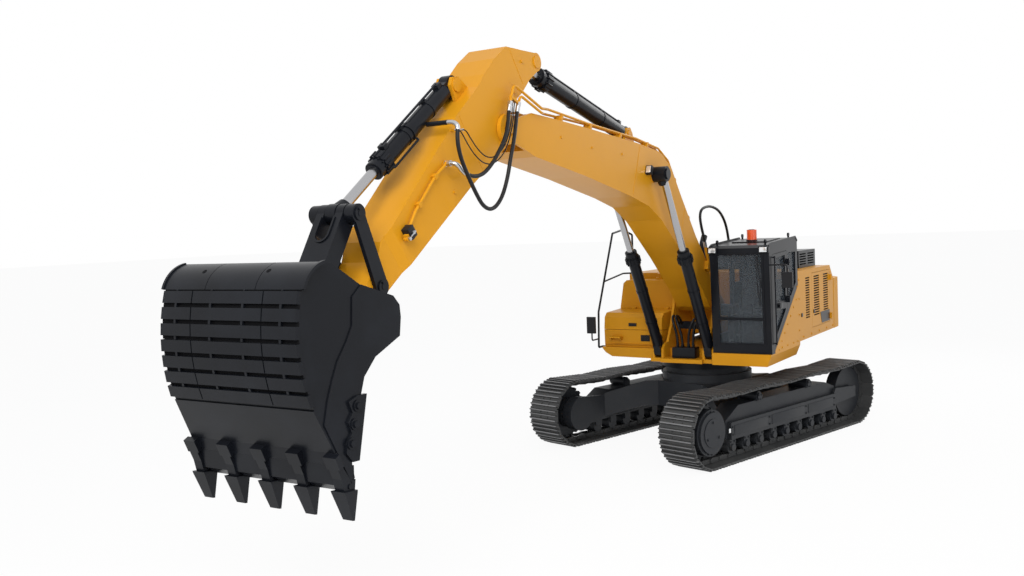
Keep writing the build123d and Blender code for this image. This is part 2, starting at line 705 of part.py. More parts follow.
boom_outline = [
    (-110, 60), (-60, 110), (0, 125), (550, 560), (1030, 750), (1790, 1140), (2200, 1370), (2540, 1430),
    (2700, 1420), (3330, 1250), near_tip(1730, 830), near_tip(840, 540), near_tip(400, 390),
    near_tip(70, 150),
    near_tip(70, -80), near_tip(240, -70), near_tip(640, -40), near_tip(1830, 230), (3310, 480), (2770, 560),
    (2300, 530), (1340, 300), (530, 60), (150, -110), (0, -125), (-90, -90), (-125, 0),
]
fork_x = boom_length - 430
fork_inner = arm_half + arm_side_gap
ram_bracket = [(3080, 1290), (3230, 1470), (3320, 1512), (3400, 1470), (3425, 1190)]
with BuildPart() as boom:
    add(slab(boom_outline, -boom_half, boom_half))
    add(slab(boom_outline, -boom_half + boom_wall, boom_half - boom_wall, grow=-boom_plate),
        mode=Mode.SUBTRACT)
    add(block(fork_x, boom_length + 300, -fork_inner, fork_inner, -400, 700), mode=Mode.SUBTRACT)
    add(block(fork_x - 20, fork_x + 1, -boom_half + 5, boom_half - 5, -30, 380))
    for low in (-boom_half - 20, fork_inner):
        add(drum(boom_length, 0, 165, low, low + boom_half - fork_inner + 20))
    add(drum(boom_length, 0, tip_pin_r, -boom_half - 30, boom_half + 30))
    add(drum(0, 0, 125, -319, 319))
    add(drum(0, 0, foot_pin_r + pin_fit, -330, 330), mode=Mode.SUBTRACT)
    for low in (-106, 66):
        add(slab(ram_bracket, low, low + 40))
    add(drum(*arm_ram_base_at, ram_pin_r, -118, 118))
    for low in (-boom_half - 16, boom_half - 1):
        add(drum(*boom_ram_head_at, 110, low, low + 17))
keep(boom.part, "boom", boom_at)


def boom_top(x):
    """Height of the boom's top at a distance from its foot."""
    for (x_low, z_low), (x_high, z_high) in zip(boom_outline[3:13], boom_outline[4:14]):
        if x_low <= x <= x_high:
            return z_low + (z_high - z_low) * (x - x_low) / (x_high - x_low)


# Steel pipes along the boom's top, two a side, ending in elbows beside the tip
pipe_r = 15
pipe_up = 80
elbow_y = boom_half + 60
# Pipe: y along the boom, distance back from the tip where it turns down, height of that turn and of its end
pipe_table = [(170, 36, 420, 300), (225, -118, 470, 235)]
bracket_z = 305
with BuildPart() as hose_post:
    with BuildSketch(Plane.YZ.offset(hose_start_r - 310)):
        Circle(hose_r + 3)
    extrude(amount=310)
with BuildPart() as boom_pipes:
    add(pitched_frame(0, 0, hose_start_deg - boom_deg, rear_hose_y) * hose_post.part)
    add(block(440, 560, boom_half + seat, rear_hose_y + 30, 380, 520))
    add(block(boom_length - 50, boom_length + 132, elbow_y - 14, elbow_y + 14,
              bracket_z, bracket_z + 30))
    for side in (1, -1):
        for y, back, turn_z, end_z in pipe_table:
            add(tube_run([
                (1060, side * y, 766 + pipe_up), (1790, side * y, 1140 + pipe_up),
                (2250, side * y, 1400 + pipe_up), (2620, side * y, 1425 + pipe_up),
                (3330, side * y, 1250 + pipe_up),
                (boom_length - 1730, side * y, 830 + pipe_up), (boom_length - 800, side * y, turn_z + 170),
                (boom_length - 500, side * elbow_y, turn_z + 20),
                (boom_length - back, side * elbow_y, turn_z), (boom_length - back, side * elbow_y, end_z),
            ], pipe_r, 60))
        for x in (1300, 1950, 3000, 3800, 4600, 5300):
            add(slab([(x - 20, boom_top(x - 20) + seat), (x + 20, boom_top(x + 20) + seat),
                      (x + 20, boom_top(x + 20) + pipe_up + 5), (x - 20, boom_top(x - 20) + pipe_up + 5)],
                     *sorted((side * 145, side * 250))))
keep(boom_pipes.part, "boom_pipes", boom_at)

# Square work lamps on both sides of the boom
lamp_at = (2834, 998)
with BuildPart() as boom_lamps:
    for side in (1, -1):
        near_y, far_y = sorted((side * (boom_half + seat), side * (boom_half + 90)))
        add(block(lamp_at[0] + 130, lamp_at[0] + 190, near_y, far_y, lamp_at[1] - 60, lamp_at[1] + 60))
keep(boom_lamps.part, "boom_lamps", boom_at)


def hose(route, radius):
    """Hose whose arcs are as large as the runs beside each point allow."""
    radii = []
    for before, here, after in zip(route, route[1:], route[2:]):
        run_in, run_out = Vector(*here) - Vector(*before), Vector(*after) - Vector(*here)
        half_turn = math.radians(run_in.get_angle(run_out) / 2)
        radii.append(0.45 * min(run_in.length, run_out.length) / math.tan(half_turn))
    print("hose radii", [round(bend) for bend in radii])
    with BuildPart() as tube:
        with BuildLine() as line:
            FilletPolyline(*route, radius=radii)
        with BuildSketch(Plane(line.wire() @ 0, z_dir=line.wire() % 0)):
            Circle(radius)
        sweep()
    print("hose length", round(line.wire().length), "volume share",
          round(tube.part.volume / (math.pi * radius ** 2 * line.wire().length), 4))
    return tube.part


def barrel(length, radius, gland_r, rod_r, eye_r, eye_half, cavity_start):
    """Cylinder barrel from its base eye at the origin to the gland's end, along X."""
    with BuildPart() as tube:
        with BuildSketch(Plane.YZ.offset(120)):
            Circle(radius)
        extrude(amount=length - 180)
        with BuildSketch(Plane.YZ.offset(length - 200)):
            Circle(gland_r)
        extrude(amount=110)
        with BuildSketch(Plane.YZ.offset(length - 91)):
            Circle(gland_r - 14)
        extrude(amount=91)
        add(block(0, 130, -eye_half, eye_half, -eye_r * 0.8, eye_r * 0.8))
        add(drum(0, 0, eye_r, -eye_half, eye_half))
        with BuildSketch(Plane.YZ.offset(cavity_start)):
            Circle(radius - 16)
        extrude(amount=length - 80 - cavity_start, mode=Mode.SUBTRACT)
        with BuildSketch(Plane.YZ.offset(cavity_start)):
            Circle(rod_r + pin_fit)
        extrude(amount=length - cavity_start + 1, mode=Mode.SUBTRACT)
        add(drum(0, 0, ram_pin_r + pin_fit, -eye_half - 1, eye_half + 1), mode=Mode.SUBTRACT)
    return tube.part


def rod(start, length, rod_r, eye_r, y_low, y_high):
    """Cylinder rod along X from inside its barrel to its eye, with the head pin."""
    with BuildPart() as bar:
        with BuildSketch(Plane.YZ.offset(start)):
            Circle(rod_r)
        extrude(amount=length - start)
        add(drum(length, 0, eye_r, y_low, y_high))
    return bar.part


# Boom cylinders beside the boom
boom_ram_at, boom_ram_length = between(boom_ram_base, on_boom(*boom_ram_head_at))
boom_barrel = boom_ram_length - 1275
for side_name, side in [("left", 1), ("right", -1)]:
    beside = boom_ram_at * Pos(0, side * ram_y, 0)
    keep(barrel(boom_barrel, 85, 104, 50, 105, 56, 150), f"boom_ram_barrel_{side_name}", beside)
    low, high = sorted((side * (boom_half + 17 - ram_y), side * 70))
    with BuildPart() as boom_rod:
        add(rod(boom_barrel - 690, boom_ram_length, 50, 105, low, high))
        add(drum(boom_ram_length, 0, 75, *sorted((side * 69, side * 90))))
    keep(boom_rod.part, f"boom_ram_rod_{side_name}", beside)

# Arm cylinder on top of the boom
arm_ram_at, arm_ram_length = between(on_boom(*arm_ram_base_at), on_arm(*arm_ram_head_at))
arm_barrel = arm_ram_length - 408
keep(barrel(arm_barrel, 100, 125, 55, 105, 60, 160), "arm_ram_barrel", arm_ram_at)
with BuildPart() as arm_rod:
    add(rod(arm_barrel - 1880, arm_ram_length, 55, 110, -60, 60))
    add(drum(arm_ram_length, 0, ram_pin_r, -arm_half + 32, arm_half - 32))
keep(arm_rod.part, "arm_ram_rod", arm_ram_at)


# Arm: hollow box with open cheeks at the rear, drawn in a little towards its tip
def near_end(back, z):
    """Arm point measured back from the bucket's pin."""
    return arm_length - back, z


arm_outline = [
    (-1100, 130), (-1160, 229), (-1120, 310), (-850, 500), (-600, 680), (-320, 690), (-40, 660),
    (150, 622), (680, 590), (950, 535), near_end(1680, 450), near_end(800, 320), near_end(640, 210),
    near_end(300, 120), near_end(70, 100), near_end(70, -100), near_end(510, -95), (910, -110), (230, -155),
    (0, -165), (-110, -120), (-165, 0), (-240, 130), (-580, 120), (-800, 150),
]
cheek = [(-1100, 130), (-1160, 229), (-1120, 310), (-850, 500), (-700, 610), (-700, 140), (-800, 150)]
arm_wall = 16
trim_x = (arm_length - 980, arm_length - 860)
with BuildPart() as arm_inside:
    add(slab(arm_outline, -arm_half + arm_wall, arm_half - arm_wall, grow=-22))
    for side in (1, -1):
        add(tread([(trim_x[0] - 5, side * 400), (trim_x[0] - 5, side * (arm_half - arm_wall)),
                   (trim_x[1] - 5, side * (arm_tip_half - arm_wall)),
                   (arm_length, side * (arm_tip_half - arm_wall)), (arm_length, side * 400)], -300, 900),
            mode=Mode.SUBTRACT)
with BuildPart() as arm:
    add(slab(arm_outline, -arm_half, arm_half))
    for side in (1, -1):
        add(tread([(trim_x[0], side * 400), (trim_x[0], side * arm_half), (trim_x[1], side * arm_tip_half),
                   (arm_length + 100, side * arm_tip_half), (arm_length + 100, side * 400)], -300, 900),
            mode=Mode.SUBTRACT)
    add(arm_inside.part, mode=Mode.SUBTRACT)
    add(block(-1400, -740, -arm_half + 30, arm_half - 30, 0, 900), mode=Mode.SUBTRACT)
    for low in (-arm_half, arm_half - 30):
        add(slab(cheek, low, low + 30))
        add(drum(*arm_ram_head_at, 105, low, low + 30))
    add(block(-742, -720, -arm_half + 1, arm_half - 1, 150, 560))
    add(drum(0, 0, 165, -arm_half, arm_half))
    add(drum(arm_length, 0, 110, -arm_tip_half, arm_tip_half))
    add(drum(*guide_pin_at, 80, -arm_tip_half, arm_tip_half))
    add(drum(0, 0, tip_pin_r + pin_fit, -arm_half - 1, arm_half + 1), mode=Mode.SUBTRACT)
    add(drum(arm_length, 0, link_pin_r + pin_fit, -arm_tip_half - 1, arm_tip_half + 1), mode=Mode.SUBTRACT)
    add(drum(*guide_pin_at, link_pin_r, -arm_tip_half - 53, arm_tip_half + 53))
    for low in (-101, 61):
        add(slab([(120, 600), (205, 790), (294, 838), (375, 790), (400, 600)], low, low + 40))
    add(drum(*bucket_ram_base_at, ram_pin_r, -112, 112))
keep(arm.part, "arm", arm_at)

# Pipe with a stop valve on the arm's left side
stub_y = 330
arm_port = (1165, 339)
thin_ports = [(772, 478), (851, 529)]
with BuildPart() as arm_pipe:
    for port in thin_ports:
        add(drum(*port, 2 * thin_hose_r, arm_half + seat, stub_y))
    add(drum(*arm_port, hose_r + 3, arm_half + seat, stub_y))
    add(tube_run([(arm_port[0], arm_half + 30, arm_port[1]), (1400, arm_half + 30, 345),
                  (1870, arm_half + 30, 270), (2050, arm_half + 30, 205)], pipe_r, 60))
    for x, z in ((1400, 345), (1780, 284)):
        add(block(x - 25, x + 25, arm_half + seat, arm_half + 50, z - 22, z + 22))
    add(block(2045, 2125, arm_half + seat, arm_half + 85, 130, 240))
    add(drum(2150, 160, 26, arm_half + 20, arm_half + 70))
    add(block(2110, 2160, arm_half + 20, arm_half + 70, 145, 200))
keep(arm_pipe.part, "arm_pipe", arm_at)

# Bucket cylinder with its port and side pipe, and its linkage
bucket_ram_at, bucket_ram_length = between(on_arm(*bucket_ram_base_at), link_pin)
bucket_barrel = bucket_ram_length - 670
bucket_port = (655, -60)
with BuildPart() as bucket_ram_barrel:
    add(barrel(bucket_barrel, 88, 108, 50, 105, 55, 160))
    add(drum(*bucket_port, hose_r + 3, 75, stub_y))
    with BuildSketch(Plane.YZ.offset(850)):
        Circle(98)
        Circle(87, mode=Mode.SUBTRACT)
    extrude(amount=60)
    add(tube_run([(900, 80, -60), (900, 110, -75), (bucket_barrel - 160, 110, -75),
                  (bucket_barrel - 160, 80, -60)], 12, 20))
keep(bucket_ram_barrel.part, "bucket_ram_barrel", bucket_ram_at)
keep(rod(bucket_barrel - 1110, bucket_ram_length, 50, 95, -58, 58), "bucket_ram_rod", bucket_ram_at)

guide_at, guide_length = between(on_arm(*guide_pin_at), link_pin)
guide_low, guide_high = arm_tip_half + arm_side_gap, arm_tip_half + 47
for side_name, side in [("left", 1), ("right", -1)]:
    with BuildPart() as guide_link:
        add(slab([(0, -80), (guide_length, -70), (guide_length, 70), (0, 80)],
                 *sorted((side * guide_low, side * guide_high))))
        add(drum(0, 0, 88, *sorted((side * guide_low, side * guide_high))))
        add(drum(guide_length, 0, 88, *sorted((side * (link_half + arm_side_gap), side * guide_high))))
        add(drum(0, 0, link_pin_r + pin_fit, *sorted((side * (guide_low - 5), side * (guide_high + 10)))),
            mode=Mode.SUBTRACT)
        add(drum(guide_length, 0, link_pin_r, *sorted((side * 66, side * (link_half + 15)))))
    keep(guide_link.part, f"guide_link_{side_name}", guide_at)

bucket_link = (bucket_pin[0] + bucket_link_at[0], bucket_pin[1] + bucket_link_at[1])
link_at, link_length = between(link_pin, bucket_link)
with BuildPart() as h_link:
    add(slab([(0, -85), (link_length, -85), (link_length, 85), (0, 85)], -link_half, link_half))
    add(drum(0, 0, 92, -link_half, link_half))
    add(drum(link_length, 0, 88, -arm_tip_half, arm_tip_half))
    add(block(-120, 250, -66, 66, -120, 120), mode=Mode.SUBTRACT)
    with BuildSketch(Plane.XY.offset(-120)):
        with Locations((250, 0)):
            Circle(66)
    extrude(amount=240, mode=Mode.SUBTRACT)
    add(drum(0, 0, link_pin_r + pin_fit, -link_half - 1, link_half + 1), mode=Mode.SUBTRACT)
keep(h_link.part, "h_link", link_at)

# Bucket: its flanks lean inwards behind the mouth's line through pin and lip
flank_at = Location((0, 0, 0), (0, -mouth_deg, 0)) * Location((0, lip_half, 0), (0, 0, -flank_taper))
knee, crown, corner = (1109, -500), (1146, 408), (909, 600)
lip = (791, -1145)
side_outline = [
    lip, knee, (1132, -453), (1164, -310), (1196, -165), (1202, -22), (1192, 124), (1170, 267), crown,
    (1098, 489), (989, 575), corner, (800, 590), (517, 405), (161, 287), (96, 207), (92, 104), (121, -52),
    (423, -190), (565, -333), (617, -468), (770, -964), (745, -1110),
]
front_outline = [
    (517, 405), (625, 315), (641, 175), (651, 87), (723, -28), (834, -172), (908, -318), (970, -463),
    (1024, -643), lip, (770, -964), (617, -468), (565, -333), (423, -190), (121, -52), (92, 104), (96, 207),
    (161, 287),
]
cutter_outline = [
    (576, -465), (680, -465), (778, -500), (745, -590), (800, -660), (770, -750), (830, -830), (842, -900),
    (781, -975), (712, -976),
]
ear_outline = [
    (-95, 20), (-60, -75), (0, -100), (70, -70), (150, 100), (240, 235), (640, 440), (640, 470),
    (330, 470), (285, 500), (208, 525), (125, 480), (100, 400),
]
lip_outline = [(745, -1010), (905, -985), (875, -1150), (800, -1210), (760, -1210)]
adapter_outline = [
    (935, -880), (985, -905), (905, -1090), (875, -1215), (760, -1215), (745, -1120), (800, -1120),
    (880, -1000),
]
adapter_head_outline = [(935, -880), (985, -905), (940, -1010), (890, -985)]
tooth_outline = [(755, -1200), (905, -1190), (805, -1441), (780, -1445)]
tooth_rows = [tooth * tooth_spacing for tooth in range(-2, 3)]


def between_flanks(piece, grow):
    """Cut a wide piece to the bucket's flanks, moved out by a margin."""
    with BuildPart() as cut:
        add(piece)
        for side in (1, -1):
            beyond = flank_at * block(-4000, 4000, grow, grow + 2000, -4000, 4000)
            add(mirrored(beyond, side), mode=Mode.SUBTRACT)
    return cut.part


def flank(outline, inner, outer):
    """Left plate on the bucket's leaning flank, between two distances from its outer face."""
    with BuildPart() as plate:
        add(slab(outline, lip_half - 400, lip_half + 200))
        add(flank_at * block(-4000, 4000, outer, outer + 2000, -4000, 4000), mode=Mode.SUBTRACT)
        add(flank_at * block(-4000, 4000, inner - 2000, inner, -4000, 4000), mode=Mode.SUBTRACT)
    return plate.part


def curved_sheet(start, middle, end, thick, half):
    """Sheet rolled over an arc of three points, thick towards its inside if negative."""
    with BuildPart() as sheet:
        with BuildSketch(Plane.XZ.offset(-half)):
            with BuildLine():
                ThreePointArc(start, middle, end)
                offset(amount=thick, side=Side.LEFT)
            make_face()
        extrude(amount=2 * half)
    return sheet.part


back_middle, crown_middle = (1202, -22), (1056, 535)
wide = lip_half + 100
with BuildPart() as shell:
    add(curved_sheet(knee, back_middle, crown, bucket_shell, wide))
    add(curved_sheet(crown, crown_middle, corner, bucket_shell, wide))
    add(slab([lip, knee, (knee[0] - 8, knee[1] + 25), (knee[0] - 34, knee[1] + 25), (lip[0] - 35, lip[1])],
             -wide, wide))
    add(slab([corner, (corner[0], corner[1] - 30), (150, 190), (150, 225)], -wide, wide))

# Wear strips over the back, split in three by two narrow gaps, each row on its own chord of the arc
strip_rows, strip_pitch, strip_width = 7, 0.143, 0.108
split_y, split_gap = 405, 12
with BuildLine(Plane.XZ) as back_arc:
    ThreePointArc(knee, back_middle, crown)
back_wire = back_arc.wire()
with BuildPart() as strips:
    for row in range(strip_rows):
        first = back_wire @ (0.02 + row * strip_pitch)
        last = back_wire @ (0.02 + row * strip_pitch + strip_width)
        run = (last - first).normalized()
        out_x, out_z = run.Z * strip_thick, -run.X * strip_thick
        sunk_x, sunk_z = -run.Z * 12, run.X * 12
        add(slab([(first.X + sunk_x, first.Z + sunk_z), (last.X + sunk_x, last.Z + sunk_z),
                  (last.X + out_x, last.Z + out_z), (first.X + out_x, first.Z + out_z)], -wide, wide))
    for y in (-split_y, split_y):
        add(block(900, 1400, y - split_gap / 2, y + split_gap / 2, -600, 500), mode=Mode.SUBTRACT)
with BuildPart() as lower_plate:
    add(slab([(1091, -513), (1111, -523), (936, -878), (917, -868)], -wide, wide))

# Teeth are wedges in the side view and narrow a little towards their tips
with BuildPart() as teeth_front:
    for y in tooth_rows:
        add(beam([(y - 75, -1150), (y + 75, -1150), (y + 75, -1215), (y + 50, -1460), (y - 50, -1460),
                  (y - 75, -1215)], 700, 950))
with BuildPart() as teeth:
    for y in tooth_rows:
        add(slab(tooth_outline, y - 80, y + 80))
    add(teeth_front.part, mode=Mode.INTERSECT)

with BuildPart() as bucket:
    add(between_flanks(shell.part, -5))
    add(between_flanks(strips.part, 12))
    add(between_flanks(lower_plate.part, 0))
    for side in (1, -1):
        add(mirrored(flank(side_outline, -bucket_side, 0), side))
        add(mirrored(flank(front_outline, -1, 12), side))
        add(mirrored(flank(cutter_outline, -1, 34), side))
    for low in (-arm_tip_half - arm_side_gap - ear_thick, arm_tip_half + arm_side_gap):
        add(slab(ear_outline, low, low + ear_thick))
    add(between_flanks(slab(lip_outline, -wide, wide), 0))
    for y in tooth_rows:
        add(slab(adapter_outline, y - 48, y + 48))
        add(slab(adapter_head_outline, y - 68, y + 68))
    add(teeth.part)
    add(drum(0, 0, link_pin_r, -arm_tip_half - 55, arm_tip_half + 55))
keep(bucket.part, "bucket", bucket_at)


def in_boom(point):
    """Row point x, z in the boom's frame."""
    return rotated(point[0] - foot[0], point[1] - foot[1], -boom_deg)


# Hoses that hang free: two wide and two thin ones from the boom's tip to the arm, in the boom's frame
short_plane, long_plane, thin_plane = boom_half + 120, boom_half + 180, boom_half + 80
arm_end = in_boom(on_arm(*arm_port))
ram_port_at = bucket_ram_at * Location((bucket_port[0], 0, bucket_port[1]))
ram_end = in_boom((ram_port_at.position.X, ram_port_at.position.Z))
inner_end, outer_end = [in_boom(on_arm(*port)) for port in thin_ports]
short_route = [
    (boom_length - pipe_table[1][1], elbow_y, pipe_table[1][3] - seat),
    (boom_length - pipe_table[1][1], elbow_y, 140), (6530, elbow_y + 25, 20), (6570, short_plane, -160),
    (6630, short_plane, -350), (6720, short_plane, -560), (6850, short_plane, -740),
    (7010, short_plane, -830), (7180, short_plane, -850), (arm_end[0], short_plane, arm_end[1]),
    (arm_end[0], stub_y + seat, arm_end[1]),
]
long_route = [
    (boom_length - pipe_table[0][1], elbow_y, pipe_table[0][3] - seat),
    (boom_length - pipe_table[0][1], elbow_y, 190), (6400, elbow_y + 40, 40), (6455, elbow_y + 90, -160),
    (6500, long_plane, -390), (6490, long_plane, -640), (6530, long_plane, -880), (6650, long_plane, -1050),
    (6820, long_plane, -1080), (7000, long_plane, -990), (7180, long_plane, -880), (7345, long_plane, -760),
    (7450, long_plane, -610), (ram_end[0], long_plane, ram_end[1]),
    (ram_end[0], stub_y + seat, ram_end[1]),
]
inner_route = [
    (6475, elbow_y, bracket_z - seat), (6475, elbow_y, 230), (6470, thin_plane, 130), (6466, thin_plane, 0),
    (6478, thin_plane, -160), (6535, thin_plane, -320), (6655, thin_plane, -455), (6795, thin_plane, -515),
    (6957, thin_plane, -500), (7100, thin_plane, -450), (inner_end[0], thin_plane, inner_end[1]),
    (inner_end[0], stub_y + seat, inner_end[1]),
]
outer_route = [
    (6440, elbow_y, bracket_z - seat), (6440, elbow_y, 230), (6436, thin_plane, 120), (6434, thin_plane, -20),
    (6448, thin_plane, -190), (6510, thin_plane, -370), (6640, thin_plane, -520), (6790, thin_plane, -590),
    (6960, thin_plane, -585), (7130, thin_plane, -530), (outer_end[0], thin_plane, outer_end[1]),
    (outer_end[0], stub_y + seat, outer_end[1]),
]
# Hose from the boom's back to the engine house, in the house's frame
reach = hose_start_r + 0.5
start_x, start_z = rotated(reach, 0, hose_start_deg)
second_x, second_z = rotated(reach + 150, 0, hose_start_deg)
rear_route = [
    (foot_x + start_x, rear_hose_y, foot_z + start_z), (foot_x + second_x, rear_hose_y, foot_z + second_z),
    (840, rear_hose_y, 3410), (888, rear_hose_y, 3560), (835, rear_hose_y, 3665), (660, rear_hose_y, 3712),
    (400, rear_hose_y, 3722), (60, rear_hose_y, 3655), (-220, rear_hose_y, 3450), (-345, rear_hose_y, 3150),
    (rear_post_x, rear_hose_y, 2930), (rear_post_x, rear_hose_y, rear_post_z + seat),
]
keep(hose(short_route, hose_r), "hose_short", boom_at)
keep(hose(long_route, hose_r), "hose_long", boom_at)
keep(hose(inner_route, thin_hose_r), "hose_thin_inner", boom_at)
keep(hose(outer_route, thin_hose_r), "hose_thin_outer", boom_at)
keep(hose(rear_route, hose_r), "hose_rear", house_at)
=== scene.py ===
import json
import math

import bmesh
import bpy
from mathutils import Matrix, Vector


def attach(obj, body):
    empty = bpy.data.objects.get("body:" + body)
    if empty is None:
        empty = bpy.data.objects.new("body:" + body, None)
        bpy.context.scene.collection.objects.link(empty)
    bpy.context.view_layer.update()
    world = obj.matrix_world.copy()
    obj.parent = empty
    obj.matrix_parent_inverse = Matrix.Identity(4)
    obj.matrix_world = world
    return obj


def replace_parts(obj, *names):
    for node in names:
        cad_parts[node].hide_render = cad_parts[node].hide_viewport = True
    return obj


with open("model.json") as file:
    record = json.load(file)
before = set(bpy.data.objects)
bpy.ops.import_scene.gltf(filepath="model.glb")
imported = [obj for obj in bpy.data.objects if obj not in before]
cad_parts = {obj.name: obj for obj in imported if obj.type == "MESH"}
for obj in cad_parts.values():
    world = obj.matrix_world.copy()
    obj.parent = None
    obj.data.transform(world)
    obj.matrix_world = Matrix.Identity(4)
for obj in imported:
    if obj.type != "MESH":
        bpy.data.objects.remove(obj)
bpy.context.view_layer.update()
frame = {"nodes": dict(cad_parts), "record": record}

scene = bpy.context.scene

# Camera: fitted to the photograph's pins, in the shared frame
SWING_X = -3.385
CAMERA_AT = (SWING_X + 15.43756, 6.13925, 3.53724)
CAMERA_YAW, CAMERA_PITCH, CAMERA_ROLL = -2.57219, -0.062115, -0.040443
camera_data = bpy.data.cameras.new("camera")
camera_data.lens = 35.07
camera_data.sensor_width = 36.0
camera_data.clip_end = 200.0
camera = bpy.data.objects.new("camera", camera_data)
scene.collection.objects.link(camera)
ahead = Vector((math.cos(CAMERA_YAW) * math.cos(CAMERA_PITCH),
                math.sin(CAMERA_YAW) * math.cos(CAMERA_PITCH), math.sin(CAMERA_PITCH)))
right = ahead.cross(Vector((0, 0, 1))).normalized()
up = right.cross(ahead)
rolled_right = right * math.cos(CAMERA_ROLL) + up * math.sin(CAMERA_ROLL)
rolled_up = up * math.cos(CAMERA_ROLL) - right * math.sin(CAMERA_ROLL)
turned = Matrix((rolled_right, rolled_up, -ahead)).transposed().to_4x4()
camera.matrix_world = Matrix.Translation(CAMERA_AT) @ turned
scene.camera = camera

# Frames of the machine's bodies, in metres
PARK_SWING = math.radians(-14.4)
FOOT = (SWING_X + 0.317, 2.177)
BOOM_PITCH, BOOM_LENGTH = math.radians(22.1), 6.400
ARM_PITCH, ARM_LENGTH = math.radians(-35.8), 3.200
# Pins and hose ports, as x and z in the frame of the body that carries them
BOOM_RAM_FOOT, BOOM_EYE = (0.907, 1.479), (2.766, 1.032)
ARM_RAM_FOOT, ARM_EYE = (3.320, 1.419), (-1.063, 0.229)
BUCKET_RAM_FOOT, BUCKET_EAR = (0.294, 0.742), (0.208, 0.433)
ARM_PORT, RAM_PORT = (1.165, 0.339), (0.655, -0.060)
INNER_PORT, OUTER_PORT = (0.772, 0.478), (0.851, 0.529)


def pitched(x, z, angle):
    """Frame at x, z whose X is pitched up by an angle."""
    return Matrix.Translation((x, 0, z)) @ Matrix.Rotation(-angle, 4, "Y")


def seen(at, x, z):
    """Point of a frame's middle plane, in the shared frame."""
    return at @ Vector((x, 0, z))


def between(start, end):
    """Frame at one point with its X to another point."""
    run = end - start
    return pitched(start.x, start.z, math.atan2(run.z, run.x)), math.hypot(run.x, run.z)


HOUSE = Matrix.Translation((SWING_X, 0, 0))
CRAWLER = Matrix.Translation((SWING_X, 0, 0)) @ Matrix.Rotation(PARK_SWING, 4, "Z")
BOOM = pitched(*FOOT, BOOM_PITCH)
TIP = seen(BOOM, BOOM_LENGTH, 0)
ARM = pitched(TIP.x, TIP.z, ARM_PITCH)
BUCKET_PIN = seen(ARM, ARM_LENGTH, 0)
BUCKET = pitched(BUCKET_PIN.x, BUCKET_PIN.z, 0)
LINK_PIN = seen(ARM, ARM_LENGTH - 0.6866, 0.7252)
BOOM_RAM, BOOM_RAM_LENGTH = between(seen(HOUSE, *BOOM_RAM_FOOT), seen(BOOM, *BOOM_EYE))
ARM_RAM, ARM_RAM_LENGTH = between(seen(BOOM, *ARM_RAM_FOOT), seen(ARM, *ARM_EYE))
BUCKET_RAM, BUCKET_RAM_LENGTH = between(seen(ARM, *BUCKET_RAM_FOOT), LINK_PIN)
GUIDE, GUIDE_LENGTH = between(seen(ARM, ARM_LENGTH - 0.516, 0.021), LINK_PIN)
H_LINK, H_LINK_LENGTH = between(LINK_PIN, seen(BUCKET, *BUCKET_EAR))


# Materials. The mix node's colour sockets are reached by number: two inputs and one output
MIX_BASE, MIX_DUST, MIX_OUT = 6, 7, 2


def surface(name, colour, rough, metal=0.0, coat=0.0, shine=0.5, grain=0.0, grain_scale=60.0, dust=0.0,
            dust_height=0.0, dust_colour=(0.30, 0.25, 0.19), spread=0.0):
    """Painted or plain surface with fine grain, tone drift and dust that settles low."""
    material = bpy.data.materials.new(name)
    material.use_nodes = True
    nodes, links = material.node_tree.nodes, material.node_tree.links
    shader = nodes["Principled BSDF"]
    shader.inputs["Base Color"].default_value = (*colour, 1)
    shader.inputs["Roughness"].default_value = rough
    shader.inputs["Metallic"].default_value = metal
    shader.inputs["Specular IOR Level"].default_value = shine
    shader.inputs["Coat Weight"].default_value = coat
    shader.inputs["Coat Roughness"].default_value = 0.08
    place = nodes.new("ShaderNodeTexCoord")
    if grain:
        noise = nodes.new("ShaderNodeTexNoise")
        noise.inputs["Scale"].default_value = grain_scale
        noise.inputs["Detail"].default_value = 3.0
        bump = nodes.new("ShaderNodeBump")
        bump.inputs["Strength"].default_value = grain
        bump.inputs["Distance"].default_value = 0.002
        links.new(place.outputs["Object"], noise.inputs["Vector"])
        links.new(noise.outputs["Fac"], bump.inputs["Height"])
        links.new(bump.outputs["Normal"], shader.inputs["Normal"])
    if dust or spread:
        blotch = nodes.new("ShaderNodeTexNoise")
        blotch.inputs["Scale"].default_value = 1.7
        blotch.inputs["Detail"].default_value = 6.0
        blotch.inputs["Roughness"].default_value = 0.6
        links.new(place.outputs["Object"], blotch.inputs["Vector"])
        mixed = nodes.new("ShaderNodeMix")
        mixed.data_type = "RGBA"
        mixed.inputs[MIX_BASE].default_value = (*colour, 1)
        mixed.inputs[MIX_DUST].default_value = (*dust_colour, 1)
        amount = nodes.new("ShaderNodeMapRange")
        amount.inputs["From Min"].default_value = 0.42
        amount.inputs["From Max"].default_value = 0.78
        amount.inputs["To Min"].default_value = 0.0
        amount.inputs["To Max"].default_value = max(dust, spread)
        links.new(blotch.outputs["Fac"], amount.inputs["Value"])
        if dust:
            split = nodes.new("ShaderNodeSeparateXYZ")
            links.new(place.outputs["Object"], split.inputs["Vector"])
            low = nodes.new("ShaderNodeMapRange")
            low.inputs["From Min"].default_value = 0.0
            low.inputs["From Max"].default_value = dust_height
            low.inputs["To Min"].default_value = 1.0
            low.inputs["To Max"].default_value = 0.0
            links.new(split.outputs["Z"], low.inputs["Value"])
            both = nodes.new("ShaderNodeMath")
            both.operation = "MULTIPLY"
            links.new(amount.outputs["Result"], both.inputs[0])
            links.new(low.outputs["Result"], both.inputs[1])
            links.new(both.outputs["Value"], mixed.inputs["Factor"])
        else:
            links.new(amount.outputs["Result"], mixed.inputs["Factor"])
        links.new(mixed.outputs[MIX_OUT], shader.inputs["Base Color"])
    return material


